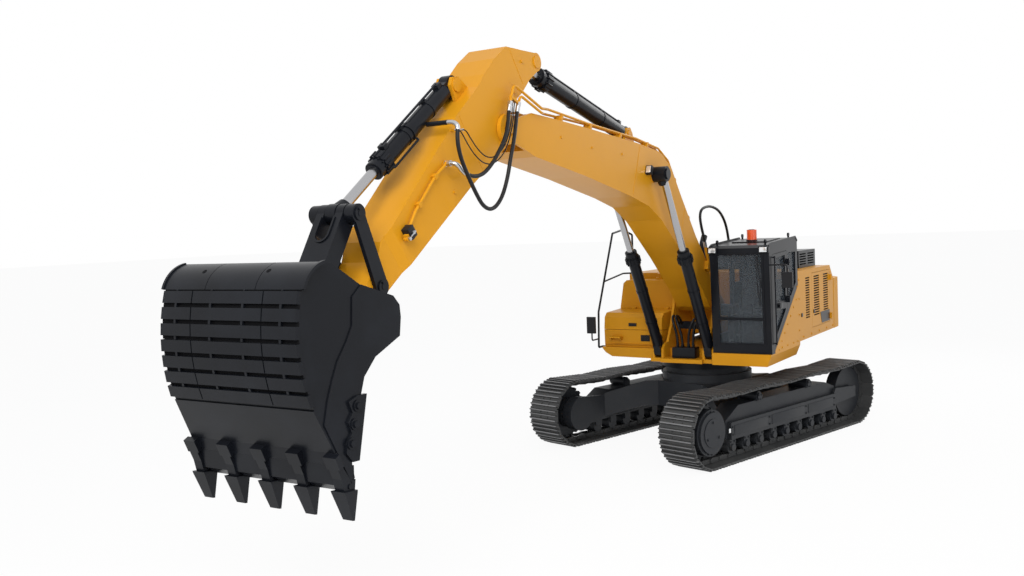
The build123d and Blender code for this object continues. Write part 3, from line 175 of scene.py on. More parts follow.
YELLOW = (0.62, 0.275, 0.010)
CHARCOAL = (0.0050, 0.0058, 0.0082)
finishes = {
    "yellow_paint": surface("yellow_paint", YELLOW, 0.34, shine=0.14, grain=0.05, grain_scale=160,
                            dust_colour=(0.56, 0.250, 0.014), spread=0.40),
    "counterweight_iron": surface("counterweight_iron", YELLOW, 0.40, shine=0.14, grain=0.16,
                                  grain_scale=60, dust_colour=(0.55, 0.245, 0.016), spread=0.40),
    "charcoal_paint": surface("charcoal_paint", CHARCOAL, 0.30, shine=0.17, grain=0.10, grain_scale=110,
                              dust_colour=(0.011, 0.013, 0.018), spread=0.7),
    "black_paint": surface("black_paint", (0.006, 0.006, 0.007), 0.32, shine=0.22, grain=0.06),
    "track_steel": surface("track_steel", (0.052, 0.053, 0.054), 0.46, metal=0.3, shine=0.4, grain=0.35,
                           grain_scale=45, dust=0.70, dust_height=1.2, dust_colour=(0.098, 0.098, 0.096)),
    "engine_grey": surface("engine_grey", (0.05, 0.05, 0.053), 0.6, metal=0.3),
    "rod_chrome": surface("rod_chrome", (0.42, 0.42, 0.43), 0.24, metal=1.0),
    "window_glass": surface("window_glass", (0.10, 0.12, 0.14), 0.03, shine=0.4),
    "seat_fabric": surface("seat_fabric", (0.024, 0.026, 0.030), 0.9, grain=0.5, grain_scale=400),
    "beacon_orange": surface("beacon_orange", (0.88, 0.10, 0.015), 0.25, coat=0.4),
    "mirror_black": surface("mirror_black", (0.012, 0.012, 0.014), 0.42, shine=0.2, grain=0.15,
                            grain_scale=300),
    "hose_rubber": surface("hose_rubber", (0.008, 0.008, 0.009), 0.48, shine=0.25, grain=0.25,
                           grain_scale=260),
}
GLASS_COVER = 0.22
glass = finishes["window_glass"].node_tree.nodes["Principled BSDF"]
glass.inputs["Alpha"].default_value = GLASS_COVER
bright_steel = surface("bright_steel", (0.50, 0.51, 0.53), 0.30, metal=1.0, grain=0.05)
worn_steel = surface("worn_steel", (0.20, 0.20, 0.205), 0.42, metal=0.7, grain=0.2)
lamp_lens = surface("lamp_lens", (0.80, 0.81, 0.82), 0.14, metal=0.6)
reflector = surface("reflector", (0.80, 0.81, 0.82), 0.25)
# Flat black for painted shade: sheets set inside holes, gaps and slots stand for the shade there
painted_shade_black = surface("painted_shade_black", (0.004, 0.004, 0.005), 0.8, shine=0.1)

undercarriage_paint = surface("undercarriage_paint", (0.016, 0.018, 0.022), 0.45, shine=0.25, grain=0.2,
                              grain_scale=80, dust=0.6, dust_height=1.1, dust_colour=(0.055, 0.055, 0.055))
LOW_NODES = {"carbody", "track_frame_left", "track_frame_right", "idler_left", "idler_right", "sprocket_left",
             "sprocket_right", "motor_guard_left", "motor_guard_right"}
slot_of = {row["node"]: row["material_slot"] for row in frame["record"]["subparts"]}
for node, thing in frame["nodes"].items():
    thing.data.materials.clear()
    thing.data.materials.append(undercarriage_paint if node in LOW_NODES else finishes[slot_of[node]])


SHARP_FROM = math.radians(35.0)


class Shape:
    """Mesh made of plain forms in one frame, finished as a piece that rides on a body."""

    def __init__(self, at):
        self.at = at
        self.mesh = bmesh.new()

    def box(self, low, high, turn=None, bevel=0.0):
        """Box between two corners, with a turn about its own centre."""
        low, high = Vector(low), Vector(high)
        size = high - low
        turned_about = Matrix.Translation((low + high) / 2) @ (turn or Matrix.Identity(4))
        place = turned_about @ Matrix.Diagonal((*size, 1))
        made = bmesh.ops.create_cube(self.mesh, size=1.0, matrix=self.at @ place)
        if bevel:
            edges = list({edge for vertex in made["verts"] for edge in vertex.link_edges})
            bmesh.ops.bevel(self.mesh, geom=edges, offset=bevel, segments=2, affect="EDGES", profile=0.6)

    def drum(self, start, end, radius, sides=20, end_radius=None):
        """Round bar from one point to another."""
        start, end = Vector(start), Vector(end)
        run = end - start
        turn = run.to_track_quat("Z", "Y").to_matrix().to_4x4()
        place = Matrix.Translation((start + end) / 2) @ turn
        bmesh.ops.create_cone(self.mesh, cap_ends=True, segments=sides, radius1=radius,
                              radius2=radius if end_radius is None else end_radius, depth=run.length,
                              matrix=self.at @ place)

    def plate(self, outline, low, high, axis="Y"):
        """Prism with an outline of two coordinates, from low to high along an axis."""
        def spot(point, level):
            a, b = point
            return {"Y": (a, level, b), "Z": (a, b, level), "X": (level, a, b)}[axis]
        first = [self.mesh.verts.new(self.at @ Vector(spot(point, low))) for point in outline]
        last = [self.mesh.verts.new(self.at @ Vector(spot(point, high))) for point in outline]
        self.mesh.faces.new(first)
        self.mesh.faces.new(last)
        for index in range(len(outline)):
            after = (index + 1) % len(outline)
            self.mesh.faces.new((first[index], first[after], last[after], last[index]))

    def bolt(self, spot, axis, radius=0.014, height=0.014):
        """Hexagon bolt head on a washer."""
        spot, axis = Vector(spot), Vector(axis).normalized()
        self.drum(spot - axis * 0.002, spot + axis * 0.004, radius * 1.45, sides=12)
        self.drum(spot + axis * 0.003, spot + axis * height, radius, sides=6)

    def bolts(self, spots, axis, radius=0.014, height=0.014):
        """The same bolt head at several spots."""
        for spot in spots:
            self.bolt(spot, axis, radius, height)

    def done(self, name, body, slot, material=None):
        """Turn the forms into a named piece on its body, with edges over SHARP_FROM left sharp."""
        bmesh.ops.recalc_face_normals(self.mesh, faces=self.mesh.faces)
        data = bpy.data.meshes.new(name)
        self.mesh.to_mesh(data)
        self.mesh.free()
        piece = bpy.data.objects.new(name, data)
        scene.collection.objects.link(piece)
        data.materials.append(material or finishes[slot])
        data.polygons.foreach_set("use_smooth", [True] * len(data.polygons))
        data.set_sharp_from_angle(angle=SHARP_FROM)
        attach(piece, body)
        return piece


def wire(name, points, radius, body, slot, at, material=None):
    """Round bar, pipe or hose along a smooth line of points."""
    curve = bpy.data.curves.new(name, "CURVE")
    curve.dimensions = "3D"
    spline = curve.splines.new("NURBS")
    spline.points.add(len(points) - 1)
    for point, spot in zip(spline.points, points):
        point.co = (*(at @ Vector(spot)), 1.0)
    spline.order_u = 3
    spline.use_endpoint_u = True
    spline.resolution_u = 8
    curve.bevel_depth = radius
    curve.bevel_resolution = 4
    curve.use_fill_caps = True
    piece = bpy.data.objects.new(name, curve)
    scene.collection.objects.link(piece)
    curve.materials.append(material or finishes[slot])
    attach(piece, body)
    return piece


# Hoses that hang free at the boom's tip and behind the boom
HOSE_R, THIN_R, COLLAR_R = 0.021, 0.0065, 0.0265
BOOM_HALF, ARM_HALF = 0.280, 0.245
ELBOW_Y, THIN_Y, SHORT_Y, LONG_Y = BOOM_HALF + 0.060, BOOM_HALF + 0.080, BOOM_HALF + 0.120, BOOM_HALF + 0.180
STUB_Y, REAR_Y = 0.3303, 0.310
into_boom = BOOM.inverted()
arm_end = into_boom @ seen(ARM, *ARM_PORT)
ram_end = into_boom @ seen(BUCKET_RAM, *RAM_PORT)
inner_end = into_boom @ seen(ARM, *INNER_PORT)
outer_end = into_boom @ seen(ARM, *OUTER_PORT)
short_route = [
    (6.518, ELBOW_Y, 0.2347), (6.518, ELBOW_Y, 0.140), (6.530, ELBOW_Y + 0.025, 0.020),
    (6.570, SHORT_Y, -0.160), (6.630, SHORT_Y, -0.350), (6.720, SHORT_Y, -0.560), (6.850, SHORT_Y, -0.740),
    (7.010, SHORT_Y, -0.830), (7.180, SHORT_Y, -0.850), (arm_end.x, SHORT_Y, arm_end.z),
    (arm_end.x, STUB_Y, arm_end.z),
]
long_route = [
    (6.364, ELBOW_Y, 0.2997), (6.364, ELBOW_Y, 0.190), (6.400, ELBOW_Y + 0.040, 0.040),
    (6.455, ELBOW_Y + 0.090, -0.160), (6.500, LONG_Y, -0.390), (6.490, LONG_Y, -0.640),
    (6.530, LONG_Y, -0.880), (6.650, LONG_Y, -1.050), (6.820, LONG_Y, -1.080), (7.000, LONG_Y, -0.990),
    (7.180, LONG_Y, -0.880), (7.345, LONG_Y, -0.760), (7.450, LONG_Y, -0.610),
    (ram_end.x, LONG_Y, ram_end.z), (ram_end.x, STUB_Y, ram_end.z),
]
inner_route = [
    (6.475, ELBOW_Y, 0.3047), (6.475, ELBOW_Y, 0.230), (6.470, THIN_Y, 0.130), (6.466, THIN_Y, 0.0),
    (6.478, THIN_Y, -0.160), (6.535, THIN_Y, -0.320), (6.655, THIN_Y, -0.455), (6.795, THIN_Y, -0.515),
    (6.957, THIN_Y, -0.500), (7.100, THIN_Y, -0.450), (inner_end.x, THIN_Y, inner_end.z),
    (inner_end.x, STUB_Y, inner_end.z),
]
outer_route = [
    (6.440, ELBOW_Y, 0.3047), (6.440, ELBOW_Y, 0.230), (6.436, THIN_Y, 0.120), (6.434, THIN_Y, -0.020),
    (6.448, THIN_Y, -0.190), (6.510, THIN_Y, -0.370), (6.640, THIN_Y, -0.520), (6.790, THIN_Y, -0.590),
    (6.960, THIN_Y, -0.585), (7.130, THIN_Y, -0.530), (outer_end.x, THIN_Y, outer_end.z),
    (outer_end.x, STUB_Y, outer_end.z),
]
rear_route = [
    (0.6918, REAR_Y, 3.1046), (0.7480, REAR_Y, 3.2437), (0.840, REAR_Y, 3.410), (0.888, REAR_Y, 3.560),
    (0.835, REAR_Y, 3.665), (0.660, REAR_Y, 3.712), (0.400, REAR_Y, 3.722), (0.060, REAR_Y, 3.655),
    (-0.220, REAR_Y, 3.450), (-0.345, REAR_Y, 3.150), (-0.380, REAR_Y, 2.930), (-0.380, REAR_Y, 2.7003),
]
# Bright elbows over the far ends of the wide hoses
short_elbow = [(7.095, SHORT_Y, -0.840), *short_route[-3:]]
long_elbow = [(7.4638, LONG_Y, -0.5269), *long_route[-2:]]
ELBOW_SHARE = 1.1  # an elbow's radius as a share of its hose's
# Hose: route, radius, real length, body, frame, its bright elbow
hose_table = [
    ("hose_short", short_route, HOSE_R, 1.591, "boom", BOOM, short_elbow),
    ("hose_long", long_route, HOSE_R, 2.641, "boom", BOOM, long_elbow),
    ("hose_thin_inner", inner_route, THIN_R, 1.410, "boom", BOOM, None),
    ("hose_thin_outer", outer_route, THIN_R, 1.592, "boom", BOOM, None),
    ("hose_rear", rear_route, HOSE_R, 2.500, "house", HOUSE, None),
]
for name, route, radius, length, body, at, elbow_line in hose_table:
    tube = wire(f"{name}_skin", route, radius, body, "hose_rubber", at)
    if elbow_line:
        wire(f"{name}_elbow", elbow_line, radius * ELBOW_SHARE, body, "rod_chrome", at,
                           bright_steel)
    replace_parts(tube, name)

# Undercarriage: shoes on their line, chain links, rollers' caps and the side frames' fittings
GAUGE, SHOE_WIDTH, SHOE_COUNT = 2.590, 0.600, 52
TUMBLER_X, AXLE_Z, LOOP_R = 2.030, 0.530, 0.500
# Upper run: x and how far it hangs under its straight line
sag_table = [(1.300, 0.034), (0.700, 0.014), (0.0, 0.040), (-0.700, 0.014), (-1.350, 0.034)]
loop_points = [Vector((-TUMBLER_X, 0, AXLE_Z - LOOP_R)), Vector((TUMBLER_X, 0, AXLE_Z - LOOP_R))]
ARC_STEPS = 48
for step in range(1, ARC_STEPS):
    turn = -math.pi / 2 + math.pi * step / ARC_STEPS
    loop_points.append(Vector((TUMBLER_X + LOOP_R * math.cos(turn), 0, AXLE_Z + LOOP_R * math.sin(turn))))
loop_points.append(Vector((TUMBLER_X, 0, AXLE_Z + LOOP_R)))
loop_points += [Vector((x, 0, AXLE_Z + LOOP_R - drop)) for x, drop in sag_table]
loop_points.append(Vector((-TUMBLER_X, 0, AXLE_Z + LOOP_R)))
for step in range(1, ARC_STEPS):
    turn = math.pi / 2 + math.pi * step / ARC_STEPS
    loop_points.append(Vector((-TUMBLER_X + LOOP_R * math.cos(turn), 0, AXLE_Z + LOOP_R * math.sin(turn))))
loop_runs = [(b - a).length for a, b in zip(loop_points, loop_points[1:] + loop_points[:1])]
loop_length = sum(loop_runs)


def loop_frame(along):
    """Frame on the shoes' line: X ahead along it, Z outwards."""
    along %= loop_length
    for index, run in enumerate(loop_runs):
        if along <= run:
            break
        along -= run
    start, end = loop_points[index], loop_points[(index + 1) % len(loop_points)]
    heading = (end - start).normalized()
    outwards = Vector((heading.z, 0, -heading.x))
    turn = Matrix((heading, outwards.cross(heading), outwards)).transposed().to_4x4()
    return Matrix.Translation(start + heading * along) @ turn


shoe_pitch = loop_length / SHOE_COUNT
# Shoe's outline in its own frame: share of the pitch, height over the line
shoe_profile = [
    (0.02, -0.016), (0.02, -0.004), (0.09, 0.000), (0.105, 0.030), (0.20, 0.030), (0.225, 0.001),
    (0.45, 0.001), (0.475, 0.030), (0.535, 0.030), (0.56, 0.001), (0.765, 0.001), (0.79, 0.030),
    (0.865, 0.030), (0.90, 0.000), (1.03, -0.004), (1.03, -0.016),
]
# The same shares for the worn tops of its three grousers, and the heights of that thin layer
GROUSER_TOPS = [(0.108, 0.197), (0.478, 0.532), (0.793, 0.862)]
WORN_LOW, WORN_HIGH = 0.0296, 0.0304
# Ends of a shoe: length of the slope, and what is left there of its pitch and of its grousers' height
SHOE_CORNER, END_PITCH, END_HEIGHT, GROUSER_FROM = 0.028, 0.86, 0.75, 0.01
LINK_Y, LINK_HALF, PIN_Z = 0.075, 0.018, -0.052
# Chain link's outline: share of the pitch, height under the shoe
link_profile = [(-0.55, -0.030), (-0.55, -0.078), (0.30, -0.090), (0.52, -0.080), (0.52, -0.020),
                (-0.40, -0.017)]
for side_name, side in (("left", 1), ("right", -1)):
    shoes, edges = Shape(CRAWLER), Shape(CRAWLER)
    middle = side * GAUGE / 2
    for shoe in range(SHOE_COUNT):
        place = loop_frame((shoe + 0.5) * shoe_pitch)
        shoes.at = edges.at = CRAWLER @ place
        outline = [((share - 0.5) * shoe_pitch, height) for share, height in shoe_profile]
        low_y, high_y = middle - SHOE_WIDTH / 2 + SHOE_CORNER, middle + SHOE_WIDTH / 2 - SHOE_CORNER
        shoes.plate(outline, low_y, high_y)
        for y, out in ((low_y, -1), (high_y, 1)):
            end = [(x * END_PITCH, z * END_HEIGHT if z > GROUSER_FROM else z) for x, z in outline]
            first = [shoes.mesh.verts.new(shoes.at @ Vector((x, y, z))) for x, z in outline]
            last = [shoes.mesh.verts.new(shoes.at @ Vector((x, y + out * SHOE_CORNER, z))) for x, z in end]
            for index in range(len(outline)):
                after = (index + 1) % len(outline)
                shoes.mesh.faces.new((first[index], first[after], last[after], last[index]))
            shoes.mesh.faces.new(last)
        for share_low, share_high in GROUSER_TOPS:
            edges.box(((share_low - 0.5) * shoe_pitch, low_y, WORN_LOW),
                      ((share_high - 0.5) * shoe_pitch, high_y, WORN_HIGH))
        for y in (-LINK_Y, LINK_Y):
            for x in (-0.045, 0.045):
                shoes.bolt((x, middle + y, 0.000), (0, 0, 1), 0.012, 0.012)
            link = [(share * shoe_pitch, height) for share, height in link_profile]
            shoes.plate(link, middle + y - LINK_HALF, middle + y + LINK_HALF)
        pin_x = -0.5 * shoe_pitch
        shoes.drum((pin_x, middle - 0.105, PIN_Z), (pin_x, middle + 0.105, PIN_Z), 0.026, sides=12)
    for vertex in [*shoes.mesh.verts, *edges.mesh.verts]:
        vertex.co.z = max(vertex.co.z, 0.0)
    edges.done(f"track_{side_name}_edges", "undercarriage", "track_steel", worn_steel)
    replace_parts(shoes.done(f"track_{side_name}_shoes", "undercarriage", "track_steel"), f"track_{side_name}")

ROLLER_Z, CARRIER_Z, CARRIER_BOLT_R = 0.213, 0.847, 0.04
HUB_RING_R, HUB_RING_STRETCH, HUB_RING_BOLTS, PLUG_R = 0.262, 1.16, 20, 0.15


def flank_y(side, y):
    """Y of a spot on one side frame, y outwards from its track's middle."""
    return side * (GAUGE / 2 + y)


for side_name, side in (("left", 1), ("right", -1)):
    fittings = Shape(CRAWLER)
    for x in [-1.44 + 0.36 * step for step in range(9)]:
        fittings.drum((x, flank_y(side, 0.150), ROLLER_Z), (x, flank_y(side, 0.196), ROLLER_Z), 0.052)
        fittings.bolts([(x + dx, flank_y(side, 0.176), 0.300) for dx in (-0.045, 0.045)], (0, side, 0), 0.012)
    for x in (0.70, -0.70):
        fittings.drum((x, flank_y(side, 0.150), CARRIER_Z), (x, flank_y(side, 0.172), CARRIER_Z), 0.056)
        fittings.bolts([(x + CARRIER_BOLT_R * math.cos(t), flank_y(side, 0.172),
                         CARRIER_Z + CARRIER_BOLT_R * math.sin(t)) for t in (0.5, 2.6, 4.7)],
                       (0, side, 0), 0.008)
    cover_low, cover_high = sorted((flank_y(side, 0.185), flank_y(side, 0.192)))
    for x_low, x_high in ((-1.38, -0.62), (-0.50, 0.42), (0.54, 1.40)):
        fittings.box((x_low, cover_low, 0.385), (x_high, cover_high, 0.530), bevel=0.004)
    for x in (-1.43, -0.56, 0.48, 1.44):
        fittings.bolts([(x, flank_y(side, 0.186), z) for z in (0.40, 0.51)], (0, side, 0), 0.012)
    hub_y = flank_y(side, 0.272)
    fittings.drum((TUMBLER_X, flank_y(side, 0.261), AXLE_Z), (TUMBLER_X, hub_y, AXLE_Z), 0.205)
    turns = [math.tau * step / HUB_RING_BOLTS for step in range(HUB_RING_BOLTS)]
    fittings.bolts([(TUMBLER_X + HUB_RING_R * math.cos(t), flank_y(side, 0.230),
                     AXLE_Z + HUB_RING_R * math.sin(t) * HUB_RING_STRETCH) for t in turns],
                   (0, side, 0), 0.010)
    fittings.bolts([(TUMBLER_X + PLUG_R * math.cos(t), hub_y, AXLE_Z + PLUG_R * math.sin(t))
                    for t in (1.57, 3.67, 5.76)], (0, side, 0), 0.016)
    near_y, far_y = flank_y(side, 0.131), flank_y(side, 0.150)
    fittings.drum((-TUMBLER_X, near_y, AXLE_Z), (-TUMBLER_X, far_y, AXLE_Z), 0.075)
    fittings.done(f"frame_fittings_{side_name}", "undercarriage", "charcoal_paint", undercarriage_paint)

# Small pale reflectors on the side frames
tags = Shape(CRAWLER)
for x in (1.52, 0.10, -1.30):
    tags.box((x - 0.020, flank_y(1, 0.186), 0.440), (x + 0.020, flank_y(1, 0.190), 0.500))
tags.done("frame_reflectors", "undercarriage", "mirror_black", reflector)


def ring_bolts(shape, centre, radius, count, axis, size=0.012, start=0.0):
    """Bolts on a circle across Y, round a centre."""
    x, y, z = centre
    shape.bolts([(x + radius * math.cos(start + math.tau * n / count), y,
                  z + radius * math.sin(start + math.tau * n / count)) for n in range(count)], axis, size)


# Boom: pin caps, plate joints and plugs
boom_bits = Shape(BOOM)
for side in (1, -1):
    face = side * BOOM_HALF
    boom_bits.drum((BOOM_LENGTH, side * 0.310, 0), (BOOM_LENGTH, side * 0.322, 0), 0.088, sides=32)
    boom_bits.drum((BOOM_LENGTH, side * 0.321, 0), (BOOM_LENGTH, side * 0.330, 0), 0.050, sides=24)
    ring_bolts(boom_bits, (BOOM_LENGTH, side * 0.322, 0), 0.068, 4, (0, side, 0), 0.013, 0.8)
    boom_bits.drum((0, side * 0.318, 0), (0, side * 0.322, 0), 0.118, sides=32)
    weld = [(3.270, 0.520), (3.290, 0.520), (3.290, 1.225), (3.270, 1.225)]
    boom_bits.plate(weld, *sorted((face, face + side * 0.004)))
    weld = [(1.560, 0.375), (1.578, 0.375), (1.578, 0.990), (1.560, 0.990)]
    boom_bits.plate(weld, *sorted((face, face + side * 0.003)))
    for x, z in ((5.30, 0.42), (4.55, 0.63), (3.75, 0.90)):
        boom_bits.drum((x, face, z), (x, face + side * 0.012, z), 0.016, sides=12)
boom_bits.done("boom_fittings", "boom", "yellow_paint")
lenses = Shape(BOOM)
for side in (1, -1):
    low_y, high_y = sorted((side * 0.292, side * 0.358))
    lenses.box((3.024, low_y, 0.950), (3.030, high_y, 1.046), bevel=0.002)
lenses.done("boom_lamp_lenses", "boom", "mirror_black", lamp_lens)

# Bright ends of the wide hoses at the boom's pipes: nut and collar
ends = Shape(BOOM)
for x, z in ((6.518, 0.235), (6.364, 0.300)):
    ends.drum((x, ELBOW_Y, z + 0.030), (x, ELBOW_Y, z - 0.012), 0.030, sides=6)
    ends.drum((x, ELBOW_Y, z - 0.010), (x, ELBOW_Y, z - 0.085), COLLAR_R)
ends.done("hose_ends_upper", "boom", "rod_chrome", bright_steel)

# Arm: pin caps, plugs, weld lines and the fittings at its hose ports
arm_bits = Shape(ARM)
for side in (1, -1):
    face = side * ARM_HALF
    x, z = ARM_EYE
    arm_bits.drum((x, face, z), (x, face + side * 0.012, z), 0.070, sides=28)
    for x, z in ((-0.78, 0.395), (-0.42, 0.215), (1.20, 0.020)):
        arm_bits.drum((x, face, z), (x, face + side * 0.014, z), 0.017, sides=12)
    x, z = BUCKET_RAM_FOOT
    arm_bits.drum((x, side * 0.101, z), (x, side * 0.118, z), 0.072, sides=24)
arm_bits.done("arm_fittings", "arm", "yellow_paint")
seams = Shape(ARM)
for side in (1, -1):
    for x, z_low, z_high in ((-0.66, 0.190, 0.610), (0.62, -0.100, 0.560)):
        seams.plate([(x, z_low), (x + 0.016, z_low), (x + 0.016, z_high), (x, z_high)],
                    *sorted((side * ARM_HALF, side * (ARM_HALF + 0.003))))
    low_y, high_y = sorted((side * ARM_HALF, side * (ARM_HALF + 0.002)))
    seams.box((-0.50, low_y, 0.300), (-0.38, high_y, 0.310), Matrix.Rotation(-0.9, 4, "Y"))
seams.done("arm_weld_lines", "arm", "yellow_paint")
port_ends = Shape(ARM)
x, z = ARM_PORT
port_ends.drum((x, 0.300, z), (x, 0.331, z), 0.034, sides=6)
port_ends.drum((x, 0.262, z), (x, 0.270, z), 0.030)
port_ends.drum((2.150, 0.315, 0.160), (2.150, 0.335, 0.160), 0.020, sides=6)
port_ends.drum((2.085, 0.330, 0.185), (2.085, 0.352, 0.185), 0.018)
port_ends.box((2.060, 0.348, 0.178), (2.150, 0.356, 0.192))
for x, z in (INNER_PORT, OUTER_PORT):
    port_ends.drum((x, 0.298, z), (x, 0.331, z), 0.015, sides=6)
port_ends.done("arm_port_fittings", "arm", "rod_chrome", bright_steel)

# Bright collars at both ends of the rear hose
rear_ends = Shape(HOUSE)
rear_ends.drum((-0.380, REAR_Y, 2.690), (-0.380, REAR_Y, 2.780), COLLAR_R)
rear_ends.done("hose_rear_end", "house", "rod_chrome", bright_steel)
rear_start = Shape(HOUSE)
start, after = Vector(rear_route[0]), Vector(rear_route[1])
rear_start.drum(start - (after - start) * 0.10, start + (after - start) * 0.50, COLLAR_R)
rear_start.done("hose_rear_start", "house", "rod_chrome", bright_steel)

# Cylinders: gland rings with bolts, barrel clamps, side pipes and port blocks
RAM_BOLTS, SIDE_PIPE_R = 12, 0.013
# Name, body, frame, y, barrel's length, tube's radius, gland's radius
ram_table = [
    ("boom_ram_left", "boom_ram_barrels", BOOM_RAM, 0.420, BOOM_RAM_LENGTH - 1.275, 0.085, 0.104),
    ("boom_ram_right", "boom_ram_barrels", BOOM_RAM, -0.420, BOOM_RAM_LENGTH - 1.275, 0.085, 0.104),
    ("arm_ram", "arm_ram_barrel", ARM_RAM, 0.0, ARM_RAM_LENGTH - 0.408, 0.100, 0.125),
    ("bucket_ram", "bucket_ram_barrel", BUCKET_RAM, 0.0, BUCKET_RAM_LENGTH - 0.670, 0.088, 0.108),
]
for name, body, at, y, length, tube_r, gland_r in ram_table:
    ram = Shape(at)
    for n in range(RAM_BOLTS):
        turn = math.tau * n / RAM_BOLTS
        # Bolt head on the gland's face, then the rib behind it on the gland's side
        for start_x, run, out_r, size, sides in ((length - 0.091, 0.022, gland_r - 0.009, 0.0095, 6),
                                                 (length - 0.196, 0.100, gland_r + 0.002, 0.012, 8)):
            bolt_y, bolt_z = y + out_r * math.cos(turn), out_r * math.sin(turn)
            ram.drum((start_x, bolt_y, bolt_z), (start_x + run, bolt_y, bolt_z), size, sides=sides)
    ram.drum((length - 0.002, y, 0), (length + 0.010, y, 0), gland_r - 0.034, sides=28)
    for share in (0.30, 0.62):
        x = length * share
        ram.drum((x - 0.020, y, 0), (x + 0.020, y, 0), tube_r + 0.007, sides=28)
        ram.box((x - 0.020, y - 0.030, tube_r), (x + 0.020, y + 0.030, tube_r + 0.026))
    ram.box((0.135, y - 0.040, tube_r - 0.010), (0.215, y + 0.040, tube_r + 0.040), bevel=0.006)
    ram.box((length - 0.300, y - 0.040, tube_r - 0.010), (length - 0.225, y + 0.040, tube_r + 0.042),
            bevel=0.006)
    ram.drum((0.175, y, tube_r + 0.036), (length - 0.262, y, tube_r + 0.036), SIDE_PIPE_R, sides=12)
    ram.done(f"{name}_barrel_fittings", body, "charcoal_paint")

# Linkage: pin caps with their locks
LINK_CAP_R = 0.062
link_bits = Shape(GUIDE)
for side in (1, -1):
    for x in (0.0, GUIDE_LENGTH):
        link_bits.drum((x, side * 0.262, 0), (x, side * 0.276, 0), LINK_CAP_R, sides=28)
        link_bits.drum((x, side * 0.275, 0), (x, side * 0.281, 0), 0.026, sides=20)
        link_bits.bolt((x + 0.040, side * 0.276, 0.0), (0, side, 0), 0.009)
link_bits.done("guide_link_caps", "guide_links", "charcoal_paint")
ear_bits = Shape(BUCKET)
for side in (1, -1):
    x, z = BUCKET_EAR
    ear_bits.drum((x, side * 0.261, z), (x, side * 0.276, z), LINK_CAP_R, sides=28)
    ear_bits.bolt((x + 0.037, side * 0.276, z), (0, side, 0), 0.009)
    ear_bits.drum((0, side * 0.270, 0), (0, side * 0.284, 0), 0.066, sides=28)
    ear_bits.bolt((0.040, side * 0.284, 0.0), (0, side, 0), 0.010)
ear_bits.done("bucket_ear_caps", "bucket", "charcoal_paint")

# Bucket: bolts of the side cutters and locks of the teeth
LIP_HALF, TOOTH_PITCH = 0.861, 0.404
MOUTH_TURN, FLANK_TURN = math.radians(28.7), math.radians(5.2)
for side_name, side in (("left", 1), ("right", -1)):
    to_mouth = Matrix.Diagonal((1, side, 1, 1)) @ Matrix.Rotation(-MOUTH_TURN, 4, "Y")
    onto_flank = Matrix.Translation((0, LIP_HALF, 0)) @ Matrix.Rotation(-FLANK_TURN, 4, "Z")
    turned_back = Matrix.Rotation(MOUTH_TURN, 4, "Y")
    flank_bits = Shape(BUCKET @ to_mouth @ onto_flank)
    for x, z in ((0.687, -0.546), (0.731, -0.685), (0.783, -0.829)):
        spot = turned_back @ Vector((x, 0, z))
        flank_bits.drum((spot.x, 0.033, spot.z), (spot.x, 0.046, spot.z), 0.047, sides=24)
        flank_bits.drum((spot.x, 0.045, spot.z), (spot.x, 0.062, spot.z), 0.030, sides=6)
    flank_bits.done(f"bucket_cutter_bolts_{side_name}", "bucket", "charcoal_paint")
locks = Shape(BUCKET)
for tooth in range(-2, 3):
    y = tooth * TOOTH_PITCH
    for side in (1, -1):
        locks.drum((0.815, y + side * 0.046, -1.165), (0.815, y + side * 0.058, -1.165), 0.020, sides=14)
locks.done("bucket_tooth_locks", "bucket", "charcoal_paint")

# House: cab trim, roof, wiper, lamps, seams, bolts and fittings
HALF_WIDTH, DECK_Z, CAB_WIDTH = 1.470, 1.490, 0.913
LEFT_FACE = HALF_WIDTH - 0.005
CAB_LEFT, CAB_RIGHT = LEFT_FACE, LEFT_FACE - CAB_WIDTH
BOX_RIGHT = -HALF_WIDTH + 0.015
CAB_FRONT, CAB_LEAN, CAB_TALL = 1.100, 0.050, 1.580


def front_x(z):
    """Cab's front face at a height."""
    return CAB_FRONT + (z - DECK_Z) * CAB_LEAN / CAB_TALL


cab_bits = Shape(HOUSE)
# Seals round both windscreen panes
SEAL_HALF = 0.016
low_y, high_y = CAB_RIGHT + 0.108, CAB_LEFT - 0.105
for z_low, z_high in ((1.640, 2.005), (2.025, 2.980)):
    for y in (low_y, high_y):
        cab_bits.plate([(front_x(z_low) - 0.002, z_low), (front_x(z_low) + 0.010, z_low),
                        (front_x(z_high) + 0.010, z_high), (front_x(z_high) - 0.002, z_high)],
                       y - SEAL_HALF, y + SEAL_HALF)
    for z in (z_low, z_high):
        cab_bits.box((front_x(z) - 0.006, low_y - SEAL_HALF, z - 0.010),
                     (front_x(z) + 0.010, high_y + SEAL_HALF, z + 0.010), bevel=0.003)
# Lamps over the windscreen
CAB_LAMPS = (CAB_RIGHT + 0.055, CAB_LEFT - 0.074)
for y in CAB_LAMPS:
    cab_bits.box((1.110, y - 0.075, 2.995), (1.190, y + 0.075, 3.095), bevel=0.010)
# Lifting eyes on the roof
for x in (1.000, -0.120):
    for y in (CAB_RIGHT + 0.07, CAB_LEFT - 0.10):
        z = 3.110 + (1.060 - x) * 0.058
        cab_bits.drum((x, y, z - 0.01), (x, y, z + 0.030), 0.016, sides=12)
        cab_bits.drum((x, y - 0.012, z + 0.048), (x, y + 0.012, z + 0.048), 0.030, sides=18)
